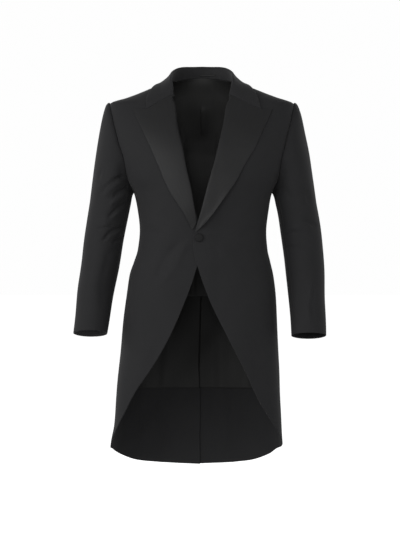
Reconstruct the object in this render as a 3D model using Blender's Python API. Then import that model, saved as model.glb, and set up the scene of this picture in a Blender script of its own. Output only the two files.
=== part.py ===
"""Black cutaway morning coat, filled out as if worn, in metres, +Z up, front towards -Y.

The origin is the base of the wearer's neck. Angles go round the body in degrees: 0 is the
centre front, 90 the wearer's own side, 180 the centre back, the same on either side.
"""
import bpy
import numpy as np

for old in list(bpy.data.objects):
    bpy.data.objects.remove(old, do_unlink=True)

# Cloth walls and clearances
WOOL_WALL = 0.0022
SLEEVE_WALL = 0.0018
FACING_WALL = 0.0020
LINING_WALL = 0.0010
SEAM_GAP = 0.0003
REST_GAP = 0.0012
LINING_GAP = 0.0010

# Body sections: height, half width, centre across, front depth, back depth
BODY_POWER = 2.4
BODY = np.array([
    (-1.020, 0.2360, -0.0140, 0.140, 0.149),
    (-0.925, 0.2278, -0.0136, 0.138, 0.146),
    (-0.877, 0.2215, -0.0114, 0.136, 0.144),
    (-0.814, 0.2176, -0.0101, 0.135, 0.142),
    (-0.750, 0.2132, -0.0086, 0.134, 0.141),
    (-0.655, 0.2072, -0.0061, 0.133, 0.138),
    (-0.575, 0.2015, -0.0036, 0.132, 0.135),
    (-0.528, 0.1966, -0.0021, 0.132, 0.130),
    (-0.480, 0.1897, -0.0008, 0.131, 0.118),
    (-0.448, 0.1801, 0.0007, 0.130, 0.108),
    (-0.416, 0.1713, 0.0015, 0.129, 0.099),
    (-0.369, 0.1677, 0.0021, 0.131, 0.099),
    (-0.305, 0.1741, 0.0029, 0.138, 0.112),
    (-0.267, 0.1822, 0.0025, 0.140, 0.121),
    (-0.231, 0.2036, 0.0020, 0.139, 0.127),
    (-0.205, 0.2160, 0.0015, 0.136, 0.129),
    (-0.165, 0.2310, 0.0010, 0.129, 0.129),
    (-0.125, 0.2405, 0.0000, 0.117, 0.124),
    (-0.090, 0.2440, 0.0000, 0.101, 0.115),
    (-0.060, 0.2445, 0.0000, 0.084, 0.105),
    (-0.030, 0.2435, 0.0000, 0.066, 0.094),
    (-0.014, 0.2010, 0.0000, 0.056, 0.089),
    (0.008, 0.1446, 0.0000, 0.043, 0.082),
    (0.018, 0.1195, 0.0000, 0.036, 0.078),
    (0.034, 0.0790, 0.0000, 0.024, 0.071),
    (0.050, 0.0500, 0.0000, 0.012, 0.066),
])

# Seams and edges: angle, height. Each runs downwards, or from the centre front backwards.
SHOULDER = [(90, 0.034), (90, 0.018), (90, 0.000), (90, -0.030)]
NECK_FRONT = [(20.6, -0.0115), (30, 0.006), (46, 0.022), (90, 0.034)]
NECK_BACK = [(90, 0.034), (100, 0.036), (120, 0.041), (140, 0.0455), (160, 0.0485), (180, 0.050)]
ARM_FRONT = [(90, -0.030), (77, -0.044), (68, -0.076), (61.5, -0.130), (60.5, -0.170),
             (65, -0.208), (75, -0.243)]
ARM_UNDER = [(75, -0.243), (83, -0.259), (93, -0.266), (104, -0.258), (113, -0.236), (118, -0.200)]
ARM_BACK = [(118, -0.200), (119.5, -0.165), (117.5, -0.120), (111, -0.072), (100, -0.040), (90, -0.030)]
SIDE_FRONT = [(75, -0.243), (76, -0.320), (78, -0.414)]
SIDE_BACK = [(118, -0.200), (131, -0.230), (144, -0.275), (154, -0.335), (160, -0.408)]
TAIL_SEAM = [(160, -0.408), (159, -0.600), (157.5, -0.800), (156, -0.996)]
WAIST_SIDE = [(78, -0.414), (120, -0.414), (160, -0.408)]
HEM_BACK = [(156, -0.996), (170, -1.000), (180, -1.002)]
ROLL = {
    "left": [(20.6, -0.0115), (15.2, -0.037), (12.7, -0.092), (9.8, -0.151), (7.3, -0.198),
             (1.6, -0.277), (-6.9, -0.371)],
    "right": [(22, -0.0115), (17, -0.037), (15.2, -0.092), (12.6, -0.151), (10.9, -0.210),
              (7.8, -0.300), (1.9, -0.371)],
}
FRONT_EDGE = {
    "left": [(-6.9, -0.371), (-8.2, -0.378), (-8.2, -0.414)],
    "right": [(1.9, -0.371), (-0.5, -0.388), (-1.4, -0.414)],
}
CUTAWAY = {
    "left": [(-8.2, -0.414), (-7.1, -0.433), (-3.7, -0.459), (0.3, -0.495), (6.2, -0.546),
             (18.5, -0.633), (31, -0.720), (44, -0.811), (54, -0.856), (69, -0.900),
             (77, -0.918), (84, -0.926)],
    "right": [(-1.4, -0.414), (0.4, -0.436), (3.7, -0.459), (6.6, -0.495), (11.4, -0.546),
              (22.8, -0.651), (34.4, -0.726), (45.8, -0.786), (55.3, -0.835), (68.4, -0.885),
              (76, -0.911), (84, -0.934)],
}
HEM_SKIRT = {
    "left": [(84, -0.926), (93, -0.931), (104, -0.941), (115, -0.949), (127, -0.968),
             (144, -0.989), (156, -0.996)],
    "right": [(84, -0.934), (92, -0.941), (103, -0.946), (112, -0.955), (122, -0.967),
              (140, -0.988), (156, -0.996)],
}
CENTRE_BACK = [(180, 0.050), (180, -0.200), (180, -0.408)]
CENTRE_TAIL = [(180, -0.408), (180, -0.600), (180, -0.725), (180.8, -0.765), (182, -1.002)]
GORGE = {
    "left": [(20.6, -0.0115), (27, -0.033), (36.6, -0.052)],
    "right": [(22, -0.0115), (27, -0.033), (34.6, -0.052)],
}
PEAK_TIP = {"left": (45, -0.049), "right": (44, -0.049)}
LAPEL_OUTER = {
    "left": [(45, -0.049), (44, -0.058), (37.4, -0.110), (33.1, -0.156), (28.4, -0.196),
             (22.9, -0.251), (16.3, -0.287), (5.9, -0.333), (-5.1, -0.370)],
    "right": [(44, -0.049), (43, -0.058), (36.5, -0.110), (32.5, -0.156), (29.6, -0.205),
              (27, -0.263), (22.4, -0.292), (15.4, -0.328), (9.8, -0.364)],
}
LAPEL_ROLL = {
    "left": ROLL["left"],
    "right": ROLL["right"][:-2] + [(7.8, -0.300), (5.8, -0.346), (8.6, -0.366)],
}

# Overlap of the closed fronts and of the back vent: how far the wearer's left lies outside
LAP_LIFT = 0.0030
LAP_ACROSS = (0.012, 0.045)
VENT_HEIGHTS = (-0.695, -0.630)
VENT_ANGLES = (162, 172)
FACING_LIFT = REST_GAP + FACING_WALL

# Grid counts
SHOULDER_CELLS = 5
NECK_FRONT_CELLS = 4
NECK_BACK_CELLS = 4
ARM_FRONT_CELLS = 8
ARM_UNDER_CELLS = 4
ARM_BACK_CELLS = 6
SIDE_CELLS = 8
WAIST_FRONT_CELLS = SHOULDER_CELLS + NECK_FRONT_CELLS
ROLL_CELLS = 13
FRONT_EDGE_CELLS = 3
TAIL_CELLS = 14
BACK_HEM_CELLS = SHOULDER_CELLS + NECK_BACK_CELLS
LAPEL_ROWS = 14
GORGE_SHARES = (0.0, 0.09, 0.33, 0.56, 0.78, 1.0)
FINE = 200
SETTLE_STEPS = 6

# Collar: share of the way (0 centre back, 1 shoulder, 2 gorge), across, depth, height
FOLD = np.array([
    (0.00, 0.0000, 0.0620, 0.0755), (0.25, 0.0210, 0.0610, 0.0755), (0.50, 0.0440, 0.0550, 0.0750),
    (0.75, 0.0640, 0.0380, 0.0700), (1.00, 0.0775, -0.0020, 0.0505), (1.35, 0.0785, -0.0280, 0.0300),
    (1.70, 0.0755, -0.0445, 0.0115), (2.00, 0.0710, -0.0560, -0.0100),
])
COLLAR_EDGE = np.array([
    (0.00, 0.0000, 0.0770, 0.0360), (0.25, 0.0250, 0.0755, 0.0355), (0.50, 0.0530, 0.0690, 0.0335),
    (0.75, 0.0840, 0.0480, 0.0290), (1.00, 0.1160, 0.0000, 0.0232), (1.35, 0.1300, -0.0210, 0.0120),
    (1.70, 0.1430, -0.0450, -0.0130), (2.00, 0.1520, -0.0680, -0.0500),
])
COLLAR_WALL = 0.0020
STAND_WALL = 0.0015
STAND_BELOW_FOLD = 0.0013
COLLAR_END_GAP = 0.0014
FALL_CLEARANCE = 0.0050
# Fold over the stand, column by column: way out and way up, then how the cloth faces there
FOLD_WAYS = ((0.0, 0.0), (0.0010, 0.0017), (0.0036, 0.0020), (0.0066, 0.0000))
END_FOLD_WAYS = ((0.0, 0.0006), (0.0012, 0.0014), (0.0036, 0.0010))
FOLD_FACING = ((-1.0, 0.0), (-0.5, 0.85), (0.35, 0.94))
FALL_SHARES = (0.30, 0.55, 0.78, 1.0)
FALL_BULGE = ((0.0, 0.004), (0.6, 0.003), (1.0, -0.005), (1.4, -0.003), (2.0, 0.0))
STAND_ROWS = 3

# Sleeves: height, centre across, centre depth, half width, half depth, slope of the ring
SLEEVE = {
    "left": np.array([
        (-0.290, 0.2481, 0.002, 0.0545, 0.076, 0.00), (-0.337, 0.2568, 0.003, 0.0537, 0.072, 0.00),
        (-0.400, 0.2663, 0.002, 0.0533, 0.067, 0.02), (-0.464, 0.2719, -0.005, 0.0515, 0.063, 0.08),
        (-0.528, 0.2755, -0.020, 0.0487, 0.057, 0.15), (-0.591, 0.2775, -0.042, 0.0467, 0.050, 0.20),
        (-0.637, 0.2780, -0.061, 0.0452, 0.046, 0.20),
    ]),
    "right": np.array([
        (-0.290, 0.2424, 0.002, 0.0547, 0.076, 0.00), (-0.337, 0.2508, 0.003, 0.0540, 0.072, 0.00),
        (-0.400, 0.2618, 0.002, 0.0525, 0.067, 0.02), (-0.464, 0.2704, -0.005, 0.0503, 0.063, 0.08),
        (-0.528, 0.2798, -0.020, 0.0483, 0.057, 0.15), (-0.591, 0.2871, -0.042, 0.0460, 0.050, 0.20),
        (-0.637, 0.2920, -0.061, 0.0442, 0.046, 0.20),
    ]),
}
CAP_STEPS = (0.0, 0.07, 0.16, 0.28, 0.44, 0.62, 0.82, 1.0)
CAP_REACH = 0.075
CAP_REACH_SHARE = 0.6
CAP_FAN = 0.40
AXIS_SLANT = 0.13
ARM_ROWS = 9
TOP_SLEEVE_FRONT = 8
TOP_SLEEVE_BACK = 5

# Lining heights, and how far its edges lie inside the panels' edges
BODY_LINING_HEM = -0.540
TAIL_LINING_HEIGHTS = (-0.500, -0.793)
LINING_DRAWN_IN = 0.003
SKIRT_LINING_CELLS = 3
HEM_FLARE = 0.005
HEM_FLARE_HEIGHTS = (-0.540, -0.470)

# Buttons: radius, thickness. Places: angle and height, or share of the sleeve
FRONT_BUTTON = (0.0109, 0.0042)
FRONT_BUTTON_PLACE = (-3.3, -0.386)
BACK_BUTTON_PLACE = (166, -0.392)
CUFF_BUTTON = (0.0075, 0.0032)
CUFF_BUTTON_PITCH = 0.0185
CUFF_BUTTON_ABOVE_HEM = 0.022
CUFF_BUTTON_COUNT = 4
CUFF_BUTTON_COLUMN = 14.5
BUTTON_SIDES = 12
FRONT_STANDOFF = 0.0005
BACK_STANDOFF = 0.0007
CUFF_STANDOFF = 0.0008

SIDES = {"left": 1.0, "right": -1.0}
PANELS = {}


def material(name, colour, roughness):
    """One plain Principled material."""
    made = bpy.data.materials.new(name)
    made.use_nodes = True
    shader = made.node_tree.nodes["Principled BSDF"]
    shader.inputs["Base Color"].default_value = (*colour, 1.0)
    shader.inputs["Roughness"].default_value = roughness
    return made


WOOL = material("wool", (0.022, 0.022, 0.024), 0.85)
SATIN = material("facing", (0.030, 0.030, 0.032), 0.55)
LINING = material("lining", (0.010, 0.010, 0.010), 0.50)
BUTTON = material("button", (0.018, 0.018, 0.020), 0.60)


def smooth_step(value, low, high):
    """0 below low, 1 above high, and a smooth rise between."""
    share = np.clip((value - low) / (high - low), 0.0, 1.0)
    return share * share * (3.0 - 2.0 * share)


def slopes(places, values):
    """Monotone cubic slopes at the places, for a curve that doesn't overshoot its values."""
    gaps = np.diff(places)
    rises = np.diff(values) / gaps
    result = np.zeros(len(places))
    result[0] = rises[0]
    result[-1] = rises[-1]
    same = rises[:-1] * rises[1:] > 0
    near = 2 * gaps[1:] + gaps[:-1]
    far = gaps[1:] + 2 * gaps[:-1]
    safe = np.where(same, rises[:-1] * rises[1:], 1.0)
    mean = (near + far) * safe / (near * rises[1:] + far * rises[:-1] + (~same) * 1e9)
    result[1:-1] = np.where(same, mean, 0.0)
    return result


def curve(places, values, at):
    """Monotone cubic curve through the values, held at its ends."""
    places = np.asarray(places, float)
    values = np.asarray(values, float)
    at = np.clip(at, places[0], places[-1])
    cell = np.clip(np.searchsorted(places, at, side="right") - 1, 0, len(places) - 2)
    slope = slopes(places, values)
    gap = places[cell + 1] - places[cell]
    share = (at - places[cell]) / gap
    rise = values[cell + 1] - values[cell]
    bend = slope[cell] * gap * share * (1 - share) ** 2 - slope[cell + 1] * gap * share ** 2 * (1 - share)
    return values[cell] + rise * (3 - 2 * share) * share ** 2 + bend


def body_sizes(height):
    """Half width, centre, front depth and back depth of the body at the heights."""
    return [curve(BODY[:, 0], BODY[:, column], height) for column in (1, 2, 3, 4)]


def body_point(angle, height, side):
    """Point of the body surface: a superellipse at each height, angles in degrees."""
    half, centre, front, back = body_sizes(height)
    turn = np.radians(angle)
    sine = np.sin(turn)
    cosine = np.cos(turn)
    size = (np.abs(sine) ** BODY_POWER + np.abs(cosine) ** BODY_POWER) ** (1.0 / BODY_POWER)
    depth = np.where(cosine > 0, front, back)
    return np.stack([centre + side * half * sine / size, -depth * cosine / size, height + 0.0 * angle], -1)


def body_normal(angle, height, side):
    """Outward unit normal of the body surface, from small steps either way."""
    step_angle = 0.2
    step_height = 0.0005
    round_way = body_point(angle + step_angle, height, side) - body_point(angle - step_angle, height, side)
    up_way = body_point(angle, height + step_height, side) - body_point(angle, height - step_height, side)
    normal = side * np.cross(round_way, up_way)
    return normal / np.linalg.norm(normal, axis=-1, keepdims=True)


def body_angle(points, side):
    """Angle of points near the body surface, on the given side, from -30 to 330 degrees."""
    half, centre, front, back = body_sizes(points[..., 2])
    depth = np.where(points[..., 1] < 0, front, back)
    angle = np.degrees(np.arctan2(side * (points[..., 0] - centre) / half, -points[..., 1] / depth))
    return (angle + 30.0) % 360.0 - 30.0


def depth_in_body(points, side):
    """Below 0 inside the body surface and above 0 outside it, 0 on it."""
    half, centre, front, back = body_sizes(points[..., 2])
    depth = np.where(points[..., 1] < 0, front, back)
    across = np.abs((points[..., 0] - centre) / half) ** BODY_POWER
    return (across + np.abs(points[..., 1] / depth) ** BODY_POWER) ** (1.0 / BODY_POWER) - 1.0


def onto_body(points, side):
    """Points moved to the nearest place on the body surface, in a few short steps."""
    small = 0.0002
    for _ in range(SETTLE_STEPS):
        slope = np.stack([
            (depth_in_body(points + step, side) - depth_in_body(points - step, side)) / (2 * small)
            for step in small * np.eye(3)], -1)
        amount = depth_in_body(points, side) / np.maximum((slope ** 2).sum(-1), 1e-9)
        points = points - amount[..., None] * slope
    return points


def seam(rows, count, side, shares=None):
    """Even points along a seam through the rows, as angle and height."""
    rows = np.array(rows, float)
    points = body_point(rows[:, 0], rows[:, 1], side)
    lengths = np.r_[0.0, np.cumsum(np.linalg.norm(np.diff(points, axis=0), axis=1))]
    fine = np.linspace(0.0, lengths[-1], FINE)
    angle = curve(lengths, rows[:, 0], fine)
    height = curve(lengths, rows[:, 1], fine)
    track = body_point(angle, height, side)
    walked = np.r_[0.0, np.cumsum(np.linalg.norm(np.diff(track, axis=0), axis=1))]
    shares = np.linspace(0.0, 1.0, count + 1) if shares is None else np.array(shares)
    wanted = shares * walked[-1]
    return np.stack([np.interp(wanted, walked, angle), np.interp(wanted, walked, height)], -1)


def join(*parts):
    """Seams one after the other, without repeating the shared points."""
    return np.concatenate([parts[0]] + [part[1:] for part in parts[1:]])


def filled(top, bottom, left, right, side):
    """Angles and heights of a grid between four edges: a blended patch laid on the body."""
    top, bottom, left, right = [body_point(e[:, 0], e[:, 1], side) for e in (top, bottom, left, right)]
    across = np.linspace(0.0, 1.0, len(top))[None, :, None]
    down = np.linspace(0.0, 1.0, len(left))[:, None, None]
    grid = (1 - down) * top[None] + down * bottom[None] + (1 - across) * left[:, None] + across * right[:, None]
    grid = grid - (1 - down) * ((1 - across) * top[0] + across * top[-1])
    grid = grid - down * ((1 - across) * bottom[0] + across * bottom[-1])
    inside = grid[1:-1, 1:-1]
    grid[1:-1, 1:-1] = onto_body(inside, side)
    return body_angle(grid, side), grid[..., 2]


def drawn_in(points, amounts):
    """Move the grid's edges inwards: amounts for top, bottom, left and right."""
    moved = points.copy()
    views = (points, points[::-1], points.swapaxes(0, 1), points.swapaxes(0, 1)[::-1])
    targets = (moved, moved[::-1], moved.swapaxes(0, 1), moved.swapaxes(0, 1)[::-1])
    for view, target, amount in zip(views, targets, amounts):
        along = np.gradient(view[0], axis=0)
        along /= np.linalg.norm(along, axis=-1, keepdims=True)
        inward = view[1] - view[0]
        inward = inward - (inward * along).sum(-1, keepdims=True) * along
        inward /= np.linalg.norm(inward, axis=-1, keepdims=True)
        target[0] += amount * inward
    return moved


def grid_normals(points):
    """Unit normals of a grid of points, down crossed with across."""
    normal = np.cross(np.gradient(points, axis=0), np.gradient(points, axis=1))
    return normal / np.linalg.norm(normal, axis=-1, keepdims=True)


def wall(name, outer, normals, thickness, look, mirrored_from=FINE):
    """Closed wall between a grid of outer points and the same grid moved inwards."""
    rows, columns = outer.shape[:2]
    inner = outer - thickness * normals
    points = np.concatenate([outer.reshape(-1, 3), inner.reshape(-1, 3)])
    place = np.arange(rows * columns).reshape(rows, columns)
    corners = np.stack([place[:-1, :-1], place[1:, :-1], place[1:, 1:], place[:-1, 1:]], -1)
    mirrored = np.arange(columns - 1)[None, :, None] >= mirrored_from
    corners = np.where(mirrored, np.roll(corners, 1, -1), corners).reshape(-1, 4)
    facing = (grid_normals(outer) * normals).sum(-1).mean()
    front = np.concatenate([corners[:, [0, 1, 2]], corners[:, [0, 2, 3]]])
    front = front if facing > 0 else front[:, ::-1]
    back = front[:, ::-1] + rows * columns
    ring = np.concatenate([place[:-1, 0], place[-1, :-1], place[1:, -1][::-1], place[0, 1:][::-1]])
    ring = ring if facing > 0 else ring[::-1]
    following = np.roll(ring, -1)
    under = ring + rows * columns
    rim = np.concatenate([
        np.stack([following, ring, under], -1),
        np.stack([following, under, following + rows * columns], -1),
    ])
    return solid(name, points, np.concatenate([front, back, rim]), look)


def solid(name, points, faces, look):
    """Named object from points and triangles."""
    mesh = bpy.data.meshes.new(name)
    mesh.from_pydata(np.asarray(points).tolist(), [], np.asarray(faces).tolist())
    mesh.materials.append(look)
    made = bpy.data.objects.new(name, mesh)
    bpy.context.collection.objects.link(made)
    return made


def front_lift(points, side):
    """How far the wearer's left front lies out over the right one, near the centre front."""
    if side < 0:
        return np.zeros(points.shape[:-1])
    near = 1.0 - smooth_step(points[..., 0], *LAP_ACROSS)
    return LAP_LIFT * near * (points[..., 1] < 0)


def vent_lift(angle, height, side):
    """How far the wearer's left back lies out over the right one, at the vent."""
    if side < 0:
        return np.zeros(np.shape(angle))
    low = 1.0 - smooth_step(height, *VENT_HEIGHTS)
    return LAP_LIFT * low * smooth_step(angle, *VENT_ANGLES)


def panel(name, edges, side, look, lift=0.0, thickness=WOOL_WALL, inset=SEAM_GAP / 2):
    """Wall laid on the body between four edges: top, bottom, left, right."""
    angle, height = filled(*edges, side)
    points = body_point(angle, height, side)
    normals = body_normal(angle, height, side)
    raised = lift + front_lift(points, side) + vent_lift(angle, height, side)
    outer = points + np.asarray(raised)[..., None] * normals
    PANELS[name] = (outer, normals)
    return wall(name, drawn_in(outer, [inset] * 4), normals, thickness, look)


def body_seams(name, side):
    """The seams that the panels of one side share, as angle and height."""
    return {
        "shoulder": seam(SHOULDER, SHOULDER_CELLS, side),
        "neck_front": seam(NECK_FRONT, NECK_FRONT_CELLS, side),
        "neck_back": seam(NECK_BACK, NECK_BACK_CELLS, side),
        "arm_front": seam(ARM_FRONT, ARM_FRONT_CELLS, side),
        "arm_under": seam(ARM_UNDER, ARM_UNDER_CELLS, side),
        "arm_back": seam(ARM_BACK, ARM_BACK_CELLS, side),
        "side_front": seam(SIDE_FRONT, SIDE_CELLS, side),
        "side_back": seam(SIDE_BACK, SIDE_CELLS, side),
        "waist_front": seam([FRONT_EDGE[name][-1], (40, -0.414), (78, -0.414)], WAIST_FRONT_CELLS, side),
        "waist_side": seam(WAIST_SIDE, ARM_UNDER_CELLS, side),
        "tail": seam(TAIL_SEAM, TAIL_CELLS, side),
        "roll": seam(ROLL[name], ROLL_CELLS, side),
        "front_edge": seam(FRONT_EDGE[name], FRONT_EDGE_CELLS, side),
        "cutaway": seam(CUTAWAY[name], TAIL_CELLS, side),
    }


def body_panels(name, side, seams):
    """Forepart, side body, back and skirt of one side."""
    top = join(seams["neck_front"], seams["shoulder"])
    front = join(seams["roll"], seams["front_edge"])
    top[0] = front[0]
    armhole_side = join(seams["arm_front"], seams["side_front"])
    panel("forepart_" + name, (top, seams["waist_front"], front, armhole_side), side, WOOL)
    panel("side_body_" + name, (seams["arm_under"], seams["waist_side"], seams["side_front"],
                                seams["side_back"]), side, WOOL)
    outer = join(seams["arm_back"][::-1], seams["side_back"], seams["tail"])
    centre = join(seam(CENTRE_BACK, ARM_BACK_CELLS + SIDE_CELLS, side), seam(CENTRE_TAIL, TAIL_CELLS, side))
    top = join(seams["shoulder"][::-1], seams["neck_back"])
    hem = seam(HEM_BACK[:-1] + [CENTRE_TAIL[-1]], BACK_HEM_CELLS, side)
    panel("back_" + name, (top, hem, outer, centre), side, WOOL)
    waist = join(seams["waist_front"], seams["waist_side"])
    hem = seam(HEM_SKIRT[name], len(waist) - 1, side)
    panel("skirt_" + name, (waist, hem, seams["cutaway"], seams["tail"]), side, WOOL)


def lapel(name, side):
    """Peak lapel folded back over the forepart, with its gorge to the collar and its tip."""
    gorge = seam(GORGE[name], 5, side, GORGE_SHARES)
    peak = seam([GORGE[name][-1], PEAK_TIP[name]], 2, side)
    top = join(gorge, peak)
    roll = seam(LAPEL_ROLL[name], LAPEL_ROWS, side)
    outer = seam(LAPEL_OUTER[name], LAPEL_ROWS, side)
    hem = seam([LAPEL_ROLL[name][-1], LAPEL_OUTER[name][-1]], len(top) - 1, side)
    panel("lapel_" + name, (top, hem, roll, outer), side, SATIN, FACING_LIFT, FACING_WALL)


def neck_ring(left, right):
    """Points of the neck seam from the wearer's left gorge round the back to the right one."""
    parts = []
    for side, seams in ((1.0, left), (-1.0, right)):
        way = join(seams["neck_front"], seams["neck_back"])
        parts.append((body_point(way[:, 0], way[:, 1], side), body_normal(way[:, 0], way[:, 1], side)))
    points = np.concatenate([parts[0][0], parts[1][0][::-1][1:]])
    normals = np.concatenate([parts[0][1], parts[1][1][::-1][1:]])
    return points, normals


def collar_shares():
    """Shares of the way along the collar, from one gorge to the centre back."""
    front = np.linspace(2.0, 1.0, NECK_FRONT_CELLS + 1)
    return np.concatenate([front, np.linspace(1.0, 0.0, NECK_BACK_CELLS + 1)[1:]])


def collar_row(table):
    """A collar line from the wearer's left gorge round the back to the right one."""
    half = np.stack([curve(table[:, 0], table[:, column], collar_shares()) for column in (1, 2, 3)], -1)
    other = half[::-1][1:] * np.array([-1.0, 1.0, 1.0])
    return np.concatenate([half, other])


def unit(vectors):
    return vectors / np.linalg.norm(vectors, axis=-1, keepdims=True)


def clear_of_body(points, margin):
    """Points moved out where they are nearer to the body surface than the margin."""
    side = np.where(points[..., 0] < 0, -1.0, 1.0)
    angle = body_angle(points, side)
    height = np.minimum(points[..., 2], BODY[-1, 0])
    surface = np.empty_like(points)
    normals = np.empty_like(points)
    for sign in (1.0, -1.0):
        here = side == sign
        surface[here] = body_point(angle[here], height[here], sign)
        normals[here] = body_normal(angle[here], height[here], sign)
    short = margin - ((points - surface) * normals).sum(-1)
    low = points[..., 2] < BODY[-1, 0]
    return points + (np.maximum(short, 0.0) * low)[..., None] * normals


def collar(left, right):
    """Stand round the neck and the fall folded over it."""
    neck, neck_normals = neck_ring(left, right)
    fold = collar_row(FOLD)
    edge = collar_row(COLLAR_EDGE)
    gorges = {}
    for end, name in ((0, "left"), (-1, "right")):
        way = seam(GORGE[name], 5, SIDES[name], GORGE_SHARES)
        normals = body_normal(way[:, 0], way[:, 1], SIDES[name])
        gorges[end] = body_point(way[:, 0], way[:, 1], SIDES[name]) + FACING_LIFT * normals
        fold[end] = gorges[end][0] + COLLAR_WALL * normals[0]
        edge[end] = gorges[end][-1]
    rise = unit(fold - neck)
    out = edge - fold
    out = unit(out - (out * rise).sum(-1, keepdims=True) * rise)

    foot = neck + SEAM_GAP * 1.5 * rise
    head = fold - STAND_BELOW_FOLD * rise
    shares = np.linspace(0.0, 1.0, STAND_ROWS)[None, :, None]
    stand = (1 - shares) * foot[:, None] + shares * head[:, None]
    inwards = -np.repeat(out[:, None], STAND_ROWS, axis=1)
    wall("collar_stand", stand[1:-1], inwards[1:-1], STAND_WALL, WOOL)

    columns = [fold + way * out + climb * rise for way, climb in FOLD_WAYS]
    start = columns[-1]
    bulge = curve(*zip(*FALL_BULGE), collar_shares())
    bulge = np.concatenate([bulge, bulge[::-1][1:]])[:, None]
    middle = start + 0.4 * (edge - start) + bulge * out
    for share in FALL_SHARES:
        columns.append((1 - share) ** 2 * start + 2 * share * (1 - share) * middle + share ** 2 * edge)
    fall = np.stack(columns, 1)
    fall[:, 4:] = clear_of_body(fall[:, 4:], FALL_CLEARANCE)
    for end in (0, -1):
        fall[end, 3:] = gorges[end][1:]
        for column, (way, climb) in enumerate(END_FOLD_WAYS):
            fall[end, column] = gorges[end][0] + way * out[end] + climb * rise[end]
    normals = grid_normals(fall)
    normals *= np.sign(normals[len(fold) // 2, 5, 1])
    for column, (outward, upward) in enumerate(FOLD_FACING):
        normals[:, column] = unit(outward * out + upward * rise)
    ends = [COLLAR_END_GAP, COLLAR_END_GAP, 0.0, 0.0]
    wall("collar_fall", drawn_in(fall, ends), normals, COLLAR_WALL, WOOL)


def sleeve_ring(name, height, turn):
    """Points of the sleeve's sections below the cap, one row of points for each height."""
    table = SLEEVE[name][::-1]
    sizes = [curve(table[:, 0], table[:, column], height)[:, None] for column in (1, 2, 3, 4, 5)]
    across, depth, half_width, half_depth, slope = sizes
    step_out = half_width * np.cos(turn)[None]
    step_back = -half_depth * np.sin(turn)[None]
    up = -slope * step_back
    return np.stack([across + step_out, depth + step_back, height[:, None] + up], -1)


def sleeve_grid(name, side, seams):
    """Sleeve as rows of a closed ring, from the armhole to the cuff."""
    ring = join(seams["arm_front"], seams["arm_under"], seams["arm_back"])
    armhole = body_point(ring[:, 0], ring[:, 1], side)
    walked = np.r_[0.0, np.cumsum(np.linalg.norm(np.diff(armhole, axis=0), axis=1))]
    turn = 2 * np.pi * walked / walked[-1]
    armhole[:, 0] *= side
    top = SLEEVE[name][0, 0]
    lower = sleeve_ring(name, np.linspace(top, SLEEVE[name][-1, 0], ARM_ROWS + 1), turn)
    biceps = lower[0]
    reach = np.linalg.norm(biceps - armhole, axis=1, keepdims=True)
    radial = armhole - armhole.mean(axis=0)
    radial[:, 0] = 0.0
    leave = np.array([1.0, 0.0, 0.0]) + CAP_FAN * unit(radial)
    leave = unit(leave) * np.minimum(CAP_REACH, CAP_REACH_SHARE * reach)
    arrive = reach * np.array([AXIS_SLANT, 0.0, -1.0])
    rows = []
    for step in CAP_STEPS[:-1]:
        start = 2 * step ** 3 - 3 * step ** 2 + 1
        row = start * armhole + (1 - start) * biceps
        row = row + (step ** 3 - 2 * step ** 2 + step) * leave + (step ** 3 - step ** 2) * arrive
        rows.append(row)
    grid = np.concatenate([np.stack(rows), lower])
    grid[..., 0] *= side
    return grid


def sleeve(name, side, seams):
    """Top sleeve and under sleeve, and the cuff buttons on the hind seam."""
    grid = sleeve_grid(name, side, seams)
    closed = np.concatenate([grid[:, -2:-1], grid, grid[:, 1:2]], axis=1)
    normals = grid_normals(closed)[:, 1:-1]
    outward = np.sign((normals[-1, 0] * np.array([side, 0.0, 0.0])).sum())
    normals = normals * outward
    last = grid.shape[1] - 1
    order = (np.arange(-TOP_SLEEVE_BACK, TOP_SLEEVE_FRONT + 1) % last,
             np.arange(TOP_SLEEVE_FRONT, last - TOP_SLEEVE_BACK + 1))
    amounts = [SEAM_GAP * 1.2, 0.0, SEAM_GAP / 2, SEAM_GAP / 2]
    for piece, columns in zip(("top_sleeve_", "under_sleeve_"), order):
        points = drawn_in(grid[:, columns], amounts)
        wall(piece + name, points, normals[:, columns], SLEEVE_WALL, WOOL)
    cuff_buttons(name, side, grid, normals)


def cuff_buttons(name, side, grid, normals):
    """Row of small buttons up from the cuff, on the faces of the sleeve."""
    column = int(CUFF_BUTTON_COLUMN)
    share = CUFF_BUTTON_COLUMN - column
    line = (1 - share) * grid[:, column] + share * grid[:, column + 1]
    facing = unit((1 - share) * normals[:, column] + share * normals[:, column + 1])
    walked = np.r_[0.0, np.cumsum(np.linalg.norm(np.diff(line[::-1], axis=0), axis=1))]
    for number in range(CUFF_BUTTON_COUNT):
        at = CUFF_BUTTON_ABOVE_HEM + number * CUFF_BUTTON_PITCH
        centre = np.array([np.interp(at, walked, line[::-1, axis]) for axis in range(3)])
        normal = np.array([np.interp(at, walked, facing[::-1, axis]) for axis in range(3)])
        button("cuff_button_%s_%d" % (name, number + 1), centre, unit(normal), CUFF_STANDOFF,
               *CUFF_BUTTON)


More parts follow.
